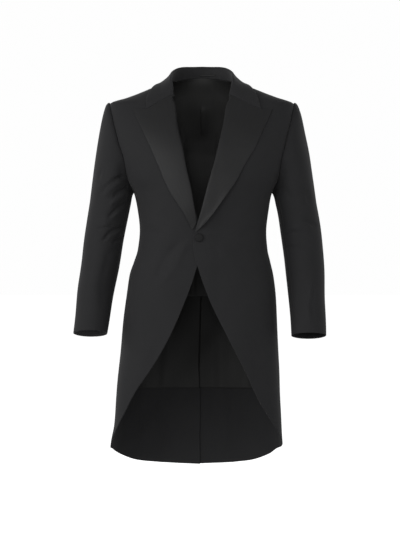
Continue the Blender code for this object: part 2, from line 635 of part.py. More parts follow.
def button(name, centre, normal, standoff, radius, thickness):
    """Domed round button standing on a surface."""
    first = unit(np.cross(normal, np.array([0.0, 0.0, 1.0])))
    second = np.cross(normal, first)
    turn = np.linspace(0.0, 2 * np.pi, BUTTON_SIDES, endpoint=False)
    profile = ((radius, 0.0), (radius, 0.45 * thickness), (0.8 * radius, 0.8 * thickness))
    base = centre + standoff * normal
    rings = [base + reach * (np.outer(np.cos(turn), first) + np.outer(np.sin(turn), second)) + rise * normal
             for reach, rise in profile]
    points = np.concatenate(rings + [base[None], (base + thickness * normal)[None]])
    count = BUTTON_SIDES
    faces = []
    for here in range(count):
        after = (here + 1) % count
        for level in (0, count):
            faces.append((level + here, level + after, level + count + after))
            faces.append((level + here, level + count + after, level + count + here))
        faces.append((after, here, 3 * count))
        faces.append((2 * count + here, 2 * count + after, 3 * count + 1))
    return solid(name, points, faces, BUTTON)


def body_buttons():
    """Front button on the wearer's left front, and two at the back waist."""
    places = (("button_front", 1.0, FRONT_BUTTON_PLACE, FRONT_STANDOFF),
              ("button_back_left", 1.0, BACK_BUTTON_PLACE, BACK_STANDOFF),
              ("button_back_right", -1.0, BACK_BUTTON_PLACE, BACK_STANDOFF))
    for name, side, place, standoff in places:
        angle, height = np.array(place[0]), np.array(place[1])
        normal = body_normal(angle, height, side)
        centre = body_point(angle, height, side)
        centre = centre + front_lift(centre, side) * normal
        button(name, centre, normal, standoff, *FRONT_BUTTON)


def between(grid, row, column):
    """Value of a grid at fractional rows and columns."""
    low_row = np.minimum(np.floor(row).astype(int), grid.shape[0] - 2)
    low_column = np.minimum(np.floor(column).astype(int), grid.shape[1] - 2)
    down = (row - low_row)[..., None]
    across = (column - low_column)[..., None]
    upper = (1 - across) * grid[low_row, low_column] + across * grid[low_row, low_column + 1]
    lower = (1 - across) * grid[low_row + 1, low_column] + across * grid[low_row + 1, low_column + 1]
    return (1 - down) * upper + down * lower


def rows_at(grid, columns, height):
    """Fractional row of each column where the grid passes a height."""
    numbers = np.arange(grid.shape[0], dtype=float)
    lines = [between(grid, numbers, np.full(len(numbers), column))[:, 2] for column in columns]
    return np.array([np.interp(-height, -line, numbers) for line in lines])


def lining(name, strips, top_height, low_height, flare=0.0, mirrored_from=FINE):
    """Lining inside the panels, from their own points between two heights.

    Each strip is a panel, its columns and the row that counts as its first one.
    """
    tops = []
    bottoms = []
    for carrier, columns, first in strips:
        grid = PANELS[carrier][0]
        top = first + 0.0 * columns if top_height is None else rows_at(grid, columns, top_height)
        tops.append(top - first)
        bottoms.append(rows_at(grid, columns, low_height) - first)
    lowest_top = np.concatenate(tops).max()
    highest_hem = np.concatenate(bottoms).min()
    whole = np.arange(np.floor(lowest_top) + 1, np.ceil(highest_hem))
    points = []
    facing = []
    for (carrier, columns, first), top, bottom in zip(strips, tops, bottoms):
        grid, normals = PANELS[carrier]
        rows = [top] + [np.full(len(columns), row) for row in whole]
        rows = first + np.stack(rows + [np.minimum(whole[-1] + 1, bottom - 0.1), bottom])
        across = columns[None] + 0.0 * rows
        points.append(between(grid, rows, across))
        facing.append(unit(between(normals, rows, across)))
    points = drawn_in(np.concatenate(points, axis=1), [LINING_DRAWN_IN, 0.0, 0.0, 0.0])
    facing = np.concatenate(facing, axis=1)
    deep = WOOL_WALL + LINING_GAP + flare * (1 - smooth_step(points[..., 2], *HEM_FLARE_HEIGHTS))
    wall(name, points - deep[..., None] * facing, facing, LINING_WALL, LINING, mirrored_from)


def linings():
    """Body lining inside both backs, and one lining in each tail and the skirt beside it."""
    columns = np.arange(1.0, BACK_HEM_CELLS + 1)
    strips = [("back_left", columns, 0), ("back_right", columns[-2::-1], 0)]
    lining("lining_back", strips, None, BODY_LINING_HEM, HEM_FLARE, len(columns) - 1)
    skirt_cells = WAIST_FRONT_CELLS + ARM_UNDER_CELLS
    for name in SIDES:
        strips = [
            ("skirt_" + name, np.arange(skirt_cells - SKIRT_LINING_CELLS, float(skirt_cells)), 0),
            ("back_" + name, np.arange(0.0, BACK_HEM_CELLS), ARM_BACK_CELLS + SIDE_CELLS),
        ]
        lining("lining_tail_" + name, strips, *TAIL_LINING_HEIGHTS)


def build():
    seams = {name: body_seams(name, side) for name, side in SIDES.items()}
    for name, side in SIDES.items():
        body_panels(name, side, seams[name])
        lapel(name, side)
        sleeve(name, side, seams[name])
    collar(seams["left"], seams["right"])
    linings()
    body_buttons()


build()
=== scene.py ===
"""Black cutaway morning coat on an unseen figure: the visual model.

Metres, +Z up, the front towards -Y. The origin is the base of the wearer's neck. The wearer's
left is +X. Angles go round the body in degrees: 0 centre front, 90 own side, 180 centre back.
"""

import bpy
import numpy as np
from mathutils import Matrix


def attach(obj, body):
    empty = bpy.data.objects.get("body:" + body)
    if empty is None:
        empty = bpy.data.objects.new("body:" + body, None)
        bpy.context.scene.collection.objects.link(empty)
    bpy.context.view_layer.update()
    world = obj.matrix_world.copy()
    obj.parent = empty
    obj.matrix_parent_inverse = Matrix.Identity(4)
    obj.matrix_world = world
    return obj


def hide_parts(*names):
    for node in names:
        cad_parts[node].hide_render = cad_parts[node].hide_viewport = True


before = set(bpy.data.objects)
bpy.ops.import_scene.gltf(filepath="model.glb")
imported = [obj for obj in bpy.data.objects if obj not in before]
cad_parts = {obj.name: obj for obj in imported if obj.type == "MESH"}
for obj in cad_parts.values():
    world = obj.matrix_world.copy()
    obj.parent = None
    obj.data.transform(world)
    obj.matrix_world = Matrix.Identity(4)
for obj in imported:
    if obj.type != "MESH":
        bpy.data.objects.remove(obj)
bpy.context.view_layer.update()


# Foreparts
# The two front panels from shoulder to waist, in black worsted wool on a canvas. They take their
# shape from the figure that fills the coat, and the wearer's left one buttons over the right one.
WOOL_WALL = 0.0022
DETAIL = 6
FINE = 400
BODY_POWER = 2.4
# Steps for the figure's normal, in degrees round and metres up, and for settling points on it
NORMAL_STEPS = (0.2, 0.0005)
SETTLE_STEPS = 6
SETTLE_STEP = 0.0002
# height, half width, centre across, front depth, back depth
BODY = np.array([
    (-1.020, 0.2360, -0.0140, 0.140, 0.149),
    (-0.925, 0.2278, -0.0136, 0.138, 0.146),
    (-0.877, 0.2215, -0.0114, 0.136, 0.144),
    (-0.814, 0.2176, -0.0101, 0.135, 0.142),
    (-0.750, 0.2132, -0.0086, 0.134, 0.141),
    (-0.655, 0.2072, -0.0061, 0.133, 0.138),
    (-0.575, 0.2015, -0.0036, 0.132, 0.135),
    (-0.528, 0.1966, -0.0021, 0.132, 0.130),
    (-0.480, 0.1897, -0.0008, 0.131, 0.118),
    (-0.448, 0.1801, 0.0007, 0.130, 0.108),
    (-0.416, 0.1713, 0.0015, 0.129, 0.099),
    (-0.369, 0.1677, 0.0021, 0.131, 0.099),
    (-0.305, 0.1741, 0.0029, 0.138, 0.112),
    (-0.267, 0.1822, 0.0025, 0.140, 0.121),
    (-0.231, 0.2036, 0.0020, 0.139, 0.127),
    (-0.205, 0.2160, 0.0015, 0.136, 0.129),
    (-0.165, 0.2310, 0.0010, 0.129, 0.129),
    (-0.125, 0.2405, 0.0000, 0.117, 0.124),
    (-0.090, 0.2440, 0.0000, 0.101, 0.115),
    (-0.060, 0.2445, 0.0000, 0.084, 0.105),
    (-0.030, 0.2435, 0.0000, 0.066, 0.094),
    (-0.014, 0.2010, 0.0000, 0.056, 0.089),
    (0.008, 0.1446, 0.0000, 0.043, 0.082),
    (0.018, 0.1195, 0.0000, 0.036, 0.078),
    (0.034, 0.0790, 0.0000, 0.024, 0.071),
    (0.050, 0.0500, 0.0000, 0.012, 0.066),
])
# Seams: angle, height
SHOULDER = [(90, 0.034), (90, 0.018), (90, 0.000), (90, -0.030)]
NECK_FRONT = [(20.6, -0.0115), (30, 0.006), (46, 0.022), (90, 0.034)]
ARM_FRONT = [(90, -0.030), (77, -0.044), (68, -0.076), (61.5, -0.130), (60.5, -0.170),
             (65, -0.208), (75, -0.243)]
SIDE_FRONT = [(75, -0.243), (76, -0.320), (78, -0.414)]
ROLL = {
    "left": [(20.6, -0.0115), (15.2, -0.037), (12.7, -0.092), (9.8, -0.151), (7.3, -0.198),
             (1.6, -0.277), (-6.9, -0.371)],
    "right": [(22, -0.0115), (17, -0.037), (15.2, -0.092), (12.6, -0.151), (10.9, -0.210),
              (7.8, -0.300), (1.9, -0.371)],
}
FRONT_EDGE = {
    "left": [(-6.9, -0.371), (-8.2, -0.378), (-8.2, -0.414)],
    "right": [(1.9, -0.371), (-0.5, -0.388), (-1.4, -0.414)],
}
SIDES = {"left": 1.0, "right": -1.0}
# How far the wearer's left front lies out over the right one, and between which places across
LAP_LIFT = 0.0030
LAP_ACROSS = (0.012, 0.045)
# The same of the backs at the vent, with the heights and angles between which it comes in
VENT_LIFT = 0.0046
VENT_HEIGHTS = (-0.695, -0.630)
VENT_ANGLES = (162, 172)
# Cells along each seam, before they are made finer
CELLS = {"shoulder": 5, "neck_front": 4, "neck_back": 4, "arm_front": 8, "arm_under": 4,
         "arm_back": 6, "side": 8, "roll": 13, "front_edge": 3, "tail": 14}
# Seam edge: extra rows of points close to it, how round it is and how far that falls of a full
# quarter circle, how deep it dips and how wide
EDGE_ROWS = (0.0, 0.10, 0.22, 0.40, 0.65)
SEAM_ROUND = 0.0011
ROUND_SHARE = 0.85
SEAM_DIP = 0.0005
SEAM_DIP_WIDTH = 0.0040
# How far the inner face of each kind of edge reaches past it, under its neighbour
TUCKS = {"seam": 0.0004, "flat": 0.0004, "armhole": 0.0040, "edge": 0.0}
# Distances from an edge that the pick stitches don't reach: of an edge without them, and added
# to those of the inner face
NO_STITCHES = (1.0, 0.02)
# Soft creases of the body's cloth: from x, z to x, z, half width, rise, and 1 front or -1 back
BODY_CREASES = [
    (-0.034, -0.404, -0.104, -0.496, 0.012, 0.0034, 1),
    (-0.060, -0.400, -0.124, -0.486, 0.010, -0.0032, 1),
    (-0.158, -0.368, -0.100, -0.384, 0.008, -0.0016, 1),
    (-0.160, -0.345, -0.112, -0.356, 0.007, 0.0011, 1),
    (-0.070, -0.335, -0.150, -0.245, 0.016, -0.0013, 1),
    (0.030, -0.402, 0.105, -0.462, 0.012, 0.0014, 1),
    (0.104, -0.378, 0.162, -0.362, 0.009, -0.0015, 1),
    (0.062, -0.330, 0.142, -0.247, 0.015, -0.0011, 1),
    (-0.150, -0.560, -0.186, -0.900, 0.022, 0.0028, 1),
    (-0.105, -0.600, -0.150, -0.800, 0.018, -0.0018, 1),
    (0.172, -0.600, 0.204, -0.890, 0.024, 0.0028, 1),
    (0.118, -0.600, 0.165, -0.790, 0.018, -0.0018, 1),
    (-0.128, -0.080, -0.112, -0.255, 0.017, -0.0020, -1),
    (0.124, -0.075, 0.112, -0.262, 0.018, -0.0022, -1),
    (-0.100, -0.396, -0.028, -0.380, 0.009, -0.0016, -1),
    (0.104, -0.390, 0.036, -0.374, 0.009, -0.0018, -1),
    (-0.112, -0.348, -0.044, -0.362, 0.010, 0.0012, -1),
    (0.110, -0.342, 0.048, -0.356, 0.010, 0.0013, -1),
    (-0.080, -0.500, -0.090, -0.960, 0.021, 0.0034, -1),
    (-0.158, -0.580, -0.174, -0.960, 0.019, 0.0034, -1),
    (-0.122, -0.540, -0.132, -0.960, 0.016, -0.0022, -1),
    (0.107, -0.520, 0.114, -0.960, 0.021, 0.0034, -1),
    (0.164, -0.600, 0.178, -0.960, 0.018, 0.0030, -1),
    (0.060, -0.560, 0.064, -0.960, 0.017, -0.0020, -1),
]
# Long unevenness of pressed cloth: waves per metre across, upwards and in depth, turn, height
UNEVEN = (
    (7.1, 2.9, 3.7, 0.4, 0.00045), (-3.3, 6.1, 2.2, 1.9, 0.00040), (11.7, -8.3, 5.1, 4.4, 0.00022),
)


def smooth_step(value, low, high):
    """0 below low, 1 above high, and 3 s squared less 2 s cubed between, s being the share."""
    share = np.clip((value - low) / (high - low), 0.0, 1.0)
    return share * share * (3.0 - 2.0 * share)


def curve(places, values, at):
    """Monotone cubic curve: Hermite pieces whose slopes are harmonic means of the rises."""
    places = np.asarray(places, float)
    values = np.asarray(values, float)
    at = np.clip(at, places[0], places[-1])
    gaps = np.diff(places)
    rises = np.diff(values) / gaps
    slope = np.r_[rises[0], np.zeros(len(rises) - 1), rises[-1]]
    same = rises[:-1] * rises[1:] > 0
    near = 2 * gaps[1:] + gaps[:-1]
    far = gaps[1:] + 2 * gaps[:-1]
    product = np.where(same, rises[:-1] * rises[1:], 1.0)
    spread = near * rises[1:] + far * rises[:-1] + (~same) * 1e9
    slope[1:-1] = np.where(same, (near + far) * product / spread, 0.0)
    cell = np.clip(np.searchsorted(places, at, side="right") - 1, 0, len(places) - 2)
    gap = gaps[cell]
    share = (at - places[cell]) / gap
    bend = slope[cell] * gap * share * (1 - share) ** 2
    bend = bend - slope[cell + 1] * gap * share ** 2 * (1 - share)
    return values[cell] + (values[cell + 1] - values[cell]) * (3 - 2 * share) * share ** 2 + bend


def body_sizes(height):
    """Half width, centre, front depth and back depth of the figure at the heights."""
    return [curve(BODY[:, 0], BODY[:, column], height) for column in (1, 2, 3, 4)]


def body_point(angle, height, side):
    """Figure's surface: at each height a superellipse, |x/a|^2.4 + |y/b|^2.4 = 1."""
    half, centre, front, back = body_sizes(height)
    sine = np.sin(np.radians(angle))
    cosine = np.cos(np.radians(angle))
    size = (np.abs(sine) ** BODY_POWER + np.abs(cosine) ** BODY_POWER) ** (1.0 / BODY_POWER)
    depth = np.where(cosine > 0, front, back)
    across = centre + side * half * sine / size
    return np.stack([across, -depth * cosine / size, height + 0.0 * angle], -1)


def unit(vectors):
    """The vectors divided by their lengths."""
    return vectors / np.linalg.norm(vectors, axis=-1, keepdims=True)


def body_normal(angle, height, side):
    """Outward normal: the step round crossed with the step up, each a short difference."""
    turn, rise = NORMAL_STEPS
    round_way = body_point(angle + turn, height, side) - body_point(angle - turn, height, side)
    up_way = body_point(angle, height + rise, side) - body_point(angle, height - rise, side)
    return unit(side * np.cross(round_way, up_way))


def body_angle(points, side):
    """Angle of points near the figure's surface, on the given side, from -30 to 330 degrees."""
    half, centre, front, back = body_sizes(points[..., 2])
    depth = np.where(points[..., 1] < 0, front, back)
    angle = np.degrees(np.arctan2(side * (points[..., 0] - centre) / half, -points[..., 1] / depth))
    return (angle + 30.0) % 360.0 - 30.0


def depth_in_body(points):
    """Superellipse size of a point less 1: below 0 inside the figure, above 0 outside it."""
    half, centre, front, back = body_sizes(points[..., 2])
    depth = np.where(points[..., 1] < 0, front, back)
    across = np.abs((points[..., 0] - centre) / half) ** BODY_POWER
    return (across + np.abs(points[..., 1] / depth) ** BODY_POWER) ** (1.0 / BODY_POWER) - 1.0


def onto_body(points):
    """Points moved onto the figure's surface by a few Newton steps down its slope."""
    for _ in range(SETTLE_STEPS):
        changes = [depth_in_body(points + step) - depth_in_body(points - step)
                   for step in SETTLE_STEP * np.eye(3)]
        slope = np.stack(changes, -1) / (2 * SETTLE_STEP)
        amount = depth_in_body(points) / np.maximum((slope ** 2).sum(-1), 1e-9)
        points = points - amount[..., None] * slope
    return points


def seam(rows, cells, side, shares=None):
    """Even points along a seam through the rows, by its length on the figure: angle and height."""
    rows = np.array(rows, float)
    points = body_point(rows[:, 0], rows[:, 1], side)
    lengths = np.r_[0.0, np.cumsum(np.linalg.norm(np.diff(points, axis=0), axis=1))]
    fine = np.linspace(0.0, lengths[-1], FINE)
    angle = curve(lengths, rows[:, 0], fine)
    height = curve(lengths, rows[:, 1], fine)
    track = body_point(angle, height, side)
    walked = np.r_[0.0, np.cumsum(np.linalg.norm(np.diff(track, axis=0), axis=1))]
    shares = np.linspace(0.0, 1.0, cells * DETAIL + 1) if shares is None else np.array(shares)
    places = shares * walked[-1]
    return np.stack([np.interp(places, walked, angle), np.interp(places, walked, height)], -1)


def join(*parts):
    """Seams one after the other, without repeating the points that they share."""
    return np.concatenate([parts[0]] + [part[1:] for part in parts[1:]])


def patch(top, bottom, left, right):
    """Coons patch: the two blends of opposite edges, less the blend of the four corners."""
    across = np.linspace(0.0, 1.0, len(top))[None, :, None]
    down = np.linspace(0.0, 1.0, len(left))[:, None, None]
    grid = (1 - down) * top[None] + down * bottom[None]
    grid = grid + (1 - across) * left[:, None] + across * right[:, None]
    grid = grid - (1 - down) * ((1 - across) * top[0] + across * top[-1])
    return grid - down * ((1 - across) * bottom[0] + across * bottom[-1])


def creases(points, facing, rows):
    """Soft folds: each adds its rise times a bell across its line, faded at its ends and where
    the cloth faces away. The line bows a little and its width wavers, so that no two are alike."""
    total = np.zeros(points.shape[:-1])
    for x0, z0, x1, z1, half, rise, way in rows:
        run = np.array([x1 - x0, z1 - z0])
        length = np.hypot(*run)
        offset = points[..., [0, 2]] - (x0, z0)
        along = (offset @ run) / length ** 2
        across = (offset[..., 0] * run[1] - offset[..., 1] * run[0]) / length
        across = across + 0.45 * half * np.sin(4.1 * along + 50 * x0)
        width = half * (1.0 + 0.22 * np.sin(8.3 * along + 70 * z0))
        ends = smooth_step(along, -0.20, 0.25) * (1.0 - smooth_step(along, 0.75, 1.20))
        faced = smooth_step(way * facing, 0.05, 0.45)
        total += rise * np.exp(-(across / width) ** 2) * ends * faced
    return total


def unevenness(points):
    """Sum of three long sine waves through space, the same on every piece that meets."""
    total = np.zeros(points.shape[:-1])
    for across, upwards, deep, turn, height in UNEVEN:
        way = 2 * np.pi * np.array([across, deep, upwards])
        total += height * np.sin(points @ way + turn)
    return total


def between(grid, row, column):
    """Value of a grid at fractional rows and columns, by straight blends of its four neighbours."""
    row, column = np.broadcast_arrays(row, column)
    low_row = np.clip(np.floor(row).astype(int), 0, grid.shape[0] - 2)
    low_column = np.clip(np.floor(column).astype(int), 0, grid.shape[1] - 2)
    down = (row - low_row)[..., None]
    across = (column - low_column)[..., None]
    upper = (1 - across) * grid[low_row, low_column] + across * grid[low_row, low_column + 1]
    lower = (1 - across) * grid[low_row + 1, low_column]
    lower = lower + across * grid[low_row + 1, low_column + 1]
    return (1 - down) * upper + down * lower


def edged(count):
    """Row numbers from 0 to count, with the extra rows close to both ends."""
    ends = np.array(EDGE_ROWS)
    return np.concatenate([ends, np.arange(1.0, count), count - ends[::-1]])


def drawn_in(points, amounts):
    """Grid whose top, bottom, left and right edges move inwards by the amounts."""
    moved = points.copy()
    views = (points, points[::-1], points.swapaxes(0, 1), points.swapaxes(0, 1)[::-1])
    targets = (moved, moved[::-1], moved.swapaxes(0, 1), moved.swapaxes(0, 1)[::-1])
    for view, target, amount in zip(views, targets, amounts):
        along = unit(np.gradient(view[0], axis=0))
        inward = view[2] - view[0]
        inward = unit(inward - (inward * along).sum(-1, keepdims=True) * along)
        target[0] += amount * inward
    return moved


def edge_distances(points):
    """Distance of each point from the top, bottom, left and right edge, along its row or column."""
    steps_down = np.diff(points, axis=0, prepend=points[:1])
    steps_across = np.diff(points, axis=1, prepend=points[:, :1])
    down = np.cumsum(np.linalg.norm(steps_down, axis=-1), axis=0)
    across = np.cumsum(np.linalg.norm(steps_across, axis=-1), axis=1)
    return [down, down[-1:] - down, across, across[:, -1:] - across]


def cloth(name, points, normals, thickness, looks, edges=("seam",) * 4,
          rounds=(SEAM_ROUND,) * 4, hem_turn=None, stitched=(False,) * 4):
    """Closed shell of cloth from a grid of outer points: an inner grid one thickness further in
    and a rim. Near each edge the outer face falls by part of a quarter circle, and a seam also
    dips by a bell. UV lies along the cloth in metres. hem_turn is the first row whose inside is
    the outer cloth, and stitched tells which edges have pick stitches beside them."""
    rows, columns = points.shape[:2]
    distances = edge_distances(points)
    fall = np.zeros((rows, columns))
    for kind, radius, distance in zip(edges, rounds, distances):
        inside = np.clip(1.0 - distance / radius, 0.0, 1.0) if radius else np.zeros_like(distance)
        fall = np.maximum(fall, radius * ROUND_SHARE * (1.0 - np.sqrt(1.0 - inside ** 2)))
        if kind in ("seam", "armhole"):
            fall = fall + SEAM_DIP * np.exp(-(distance / SEAM_DIP_WIDTH) ** 2)
    outer = points - fall[..., None] * normals
    inner = drawn_in(points - thickness * normals, [-TUCKS[kind] for kind in edges])
    place = np.arange(rows * columns).reshape(rows, columns)
    front = np.stack([place[:-1, :-1], place[1:, :-1], place[1:, 1:], place[:-1, 1:]], -1)
    ring = np.concatenate([place[:-1, 0], place[-1, :-1], place[1:, -1][::-1], place[0, 1:][::-1]])
    sides = np.repeat([2, 1, 3, 0], [rows - 1, columns - 1, rows - 1, columns - 1])
    facing = np.cross(np.gradient(points, axis=0), np.gradient(points, axis=1))
    if (facing * normals).sum() < 0:
        front = front[..., ::-1]
        ring = ring[::-1]
        sides = sides[::-1]
    back = front[..., ::-1] + rows * columns
    after = np.roll(ring, -1)
    rim = np.stack([after, ring, ring + rows * columns, after + rows * columns], -1)
    faces = np.concatenate([front.reshape(-1, 4), back.reshape(-1, 4), rim])
    lined = np.ones(front.shape[:2], int)
    if hem_turn is not None:
        lined[hem_turn:] = 0
    material_numbers = np.zeros(len(faces), int)
    material_numbers[lined.size:2 * lined.size] = lined.ravel()
    vertices = np.concatenate([outer.reshape(-1, 3), inner.reshape(-1, 3)])
    mesh = bpy.data.meshes.new(name + "_cloth")
    mesh.from_pydata(vertices.tolist(), [], faces.tolist())
    from_middle = distances[2] - distances[2][:, [columns // 2]]
    along = np.stack([from_middle, -distances[0]], -1).reshape(-1, 2)
    along = np.concatenate([along, along])
    sewn = [distance if has else np.full_like(distance, NO_STITCHES[0])
            for has, distance in zip(stitched, distances)]
    nearest = np.stack([np.minimum(sewn[0], sewn[1]), np.minimum(sewn[2], sewn[3])])
    edge_rows = np.where(nearest[0] < nearest[1], distances[2], distances[0]).ravel()
    stitches = np.stack([edge_rows, nearest.min(0).ravel()], -1)
    stitches = np.concatenate([stitches, stitches + (0.0, NO_STITCHES[1])])
    for layer_name, values in (("cloth", along), ("edge", stitches)):
        layer = mesh.uv_layers.new(name=layer_name)
        layer.data.foreach_set("uv", values[faces.ravel()].astype(np.float32).ravel())
    for look in looks:
        mesh.materials.append(look)
    mesh.polygons.foreach_set("material_index", material_numbers * (len(looks) > 1))
    smooth = np.ones(len(faces), bool)
    smooth[-len(rim):] = np.array(edges)[sides] != "flat"
    mesh.polygons.foreach_set("use_smooth", smooth)
    made = bpy.data.objects.new(name + "_cloth", mesh)
    bpy.context.collection.objects.link(made)
    return made


def declared(piece, node):
    """Rides on the coat and stands for its CAD node, which it hides."""
    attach(piece, "root")
    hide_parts(node)


def math_node(tree, kind, first, second=None, third=None):
    """Math node of a tree, with sockets linked or numbers set, and its output."""
    node = tree.nodes.new("ShaderNodeMath")
    node.operation = kind
    for place, value in enumerate((first, second, third)):
        if isinstance(value, (int, float)):
            node.inputs[place].default_value = value
        elif value is not None:
            tree.links.new(value, node.inputs[place])
    return node.outputs[0]


def mixed(tree, share, first, second):
    """Colour mix by a share, with sockets or colours."""
    node = tree.nodes.new("ShaderNodeMix")
    node.data_type = "RGBA"
    for number, value in ((0, share), (6, first), (7, second)):
        socket = node.inputs[number]
        if hasattr(value, "links"):
            tree.links.new(value, socket)
        elif isinstance(value, float):
            socket.default_value = value
        else:
            socket.default_value = (*value, 1.0)
    return node.outputs[2]


def noise(tree, vector, scale, detail=2.0):
    """Noise texture's value, from 0 to 1."""
    node = tree.nodes.new("ShaderNodeTexNoise")
    node.inputs["Scale"].default_value = scale
    node.inputs["Detail"].default_value = detail
    tree.links.new(vector, node.inputs["Vector"])
    return node.outputs["Fac"]


def weave_group(name, more_inputs=()):
    """Shader node group of a weave, what it is given, and what is wanted from it."""
    group = bpy.data.node_groups.new(name, "ShaderNodeTree")
    for socket_name, kind, value in (("Dark", "NodeSocketColor", (0.01, 0.01, 0.01, 1.0)),
                                     ("Light", "NodeSocketColor", (0.03, 0.03, 0.03, 1.0)),
                                     ("Ribs per metre", "NodeSocketFloat", 900.0),
                                     ("Roughness", "NodeSocketFloat", 0.5), *more_inputs):
        made = group.interface.new_socket(name=socket_name, in_out="INPUT", socket_type=kind)
        made.default_value = value
    for socket_name, kind in (("Colour", "NodeSocketColor"), ("Roughness", "NodeSocketFloat"),
                              ("Height", "NodeSocketFloat")):
        group.interface.new_socket(name=socket_name, in_out="OUTPUT", socket_type=kind)
    given = group.nodes.new("NodeGroupInput").outputs
    return group, given, group.nodes.new("NodeGroupOutput").inputs


def uv_place(group, layer):
    """Place on one of the cloth's UV layers: as a vector, across, and along."""
    place = group.nodes.new("ShaderNodeUVMap")
    place.uv_map = layer
    split = group.nodes.new("ShaderNodeSeparateXYZ")
    group.links.new(place.outputs[0], split.inputs[0])
    return place.outputs[0], split.outputs[0], split.outputs[1]


def ribs(group, across, per_metre):
    """Sine wave across the cloth, from 0 to 1."""
    turns = math_node(group, "MULTIPLY", across, per_metre)
    wave = math_node(group, "SINE", math_node(group, "MULTIPLY", turns, 2 * np.pi))
    return math_node(group, "MULTIPLY_ADD", wave, 0.5, 0.5)


def put_out(group, given, wanted, share, mottle, roughening, height):
    """Links a weave's colour, a mix of dark and light by the share, its roughness, which the
    mottle raises, and its height to what the group puts out."""
    rough = math_node(group, "MULTIPLY_ADD", mottle, roughening, given["Roughness"])
    group.links.new(mixed(group, share, given["Dark"], given["Light"]), wanted["Colour"])
    group.links.new(rough, wanted["Roughness"])
    group.links.new(height, wanted["Height"])


def twill_weave():
    """Worsted twill: fine ribs rising to the right along the cloth, each yarn a little lighter
    or darker than the next, and a long mottling from pressing."""
    group, given, wanted = weave_group("worsted twill")
    place, across, along = uv_place(group, "cloth")
    slant = math_node(group, "MULTIPLY_ADD", along, -0.55, across)
    rib = ribs(group, slant, given["Ribs per metre"])
    yarn = noise(group, place, 1400.0)
    in_space = group.nodes.new("ShaderNodeTexCoord").outputs["Object"]
    pressed = noise(group, in_space, 14.0, 3.0)
    share = math_node(group, "MULTIPLY_ADD", rib, 0.30, math_node(group, "MULTIPLY", yarn, 0.45))
    share = math_node(group, "MULTIPLY_ADD", pressed, 0.35, share)
    height = math_node(group, "MULTIPLY_ADD", yarn, 0.8, rib)
    put_out(group, given, wanted, share, pressed, 0.10, height)
    return group


def silk_weave():
    """Satin or ribbed silk: ribs across the cloth and long streaks where threads vary, worked
    from the cloth's own lengths, with rows of pick stitches pressed in beside sewn edges."""
    group, given, wanted = weave_group("silk weave", [("Stitch inset", "NodeSocketFloat", 0.0)])
    place, across, _ = uv_place(group, "cloth")
    stretch = group.nodes.new("ShaderNodeMapping")
    stretch.inputs["Scale"].default_value = (1.0, 0.06, 1.0)
    group.links.new(place, stretch.inputs["Vector"])
    streak = noise(group, stretch.outputs[0], 420.0, 3.0)
    rib = ribs(group, across, given["Ribs per metre"])
    share = math_node(group, "MULTIPLY_ADD", streak, 0.75, math_node(group, "MULTIPLY", rib, 0.25))
    _, beside_edge, from_edge = uv_place(group, "edge")
    off = math_node(group, "SUBTRACT", from_edge, given["Stitch inset"])
    on_line = math_node(group, "LESS_THAN", math_node(group, "ABSOLUTE", off), 0.00045)
    step = math_node(group, "FRACT", math_node(group, "MULTIPLY", beside_edge, 280.0))
    stitch = math_node(group, "MULTIPLY", on_line, math_node(group, "LESS_THAN", step, 0.4))
    height = math_node(group, "MULTIPLY_ADD", streak, 0.5, math_node(group, "MULTIPLY", rib, 0.5))
    height = math_node(group, "MULTIPLY_ADD", stitch, -3.0, height)
    put_out(group, given, wanted, share, streak, 0.12, height)
    return group


def woven_material(name, group, values, bump, **settings):
    """Principled cloth: a weave group gives colour, roughness and the bump's height. The bump is
    its strength and its distance."""
    made = bpy.data.materials.new(name)
    made.use_nodes = True
    tree = made.node_tree
    shader = tree.nodes["Principled BSDF"]
    weave = tree.nodes.new("ShaderNodeGroup")
    weave.node_tree = group
    for socket, value in values.items():
        weave.inputs[socket].default_value = (*value, 1.0) if isinstance(value, tuple) else value
    tree.links.new(weave.outputs["Colour"], shader.inputs["Base Color"])
    tree.links.new(weave.outputs["Roughness"], shader.inputs["Roughness"])
    relief = tree.nodes.new("ShaderNodeBump")
    relief.inputs["Strength"].default_value = bump[0]
    relief.inputs["Distance"].default_value = bump[1]
    tree.links.new(weave.outputs["Height"], relief.inputs["Height"])
    tree.links.new(relief.outputs["Normal"], shader.inputs["Normal"])
    for socket, value in settings.items():
        shader.inputs[socket.replace("_", " ")].default_value = value
    return made


TWILL = twill_weave()
SILK = silk_weave()
WOOL = woven_material(
    "black worsted", TWILL, {"Dark": (0.0135, 0.0135, 0.0145), "Light": (0.0330, 0.0330, 0.0345),
                             "Ribs per metre": 950.0, "Roughness": 0.72},
    (0.30, 0.0002), Specular_IOR_Level=0.18, Sheen_Weight=0.10, Sheen_Roughness=0.45)
BODY_LINING = woven_material(
    "body lining", SILK, {"Dark": (0.0210, 0.0210, 0.0205), "Light": (0.0405, 0.0405, 0.0395),
                          "Ribs per metre": 2200.0, "Roughness": 0.42},
    (0.15, 0.0001), Specular_IOR_Level=0.30)


def body_seams(name, side):
    """Seams of one side that its panels share, as even points: angle and height."""
    return {
        "shoulder": seam(SHOULDER, CELLS["shoulder"], side),
        "neck_front": seam(NECK_FRONT, CELLS["neck_front"], side),
        "arm_front": seam(ARM_FRONT, CELLS["arm_front"], side),
        "side_front": seam(SIDE_FRONT, CELLS["side"], side),
        "roll": seam(ROLL[name], CELLS["roll"], side),
        "front_edge": seam(FRONT_EDGE[name], CELLS["front_edge"], side),
        "waist_front": seam([FRONT_EDGE[name][-1], (40, -0.414), (78, -0.414)],
                            CELLS["shoulder"] + CELLS["neck_front"], side),
    }


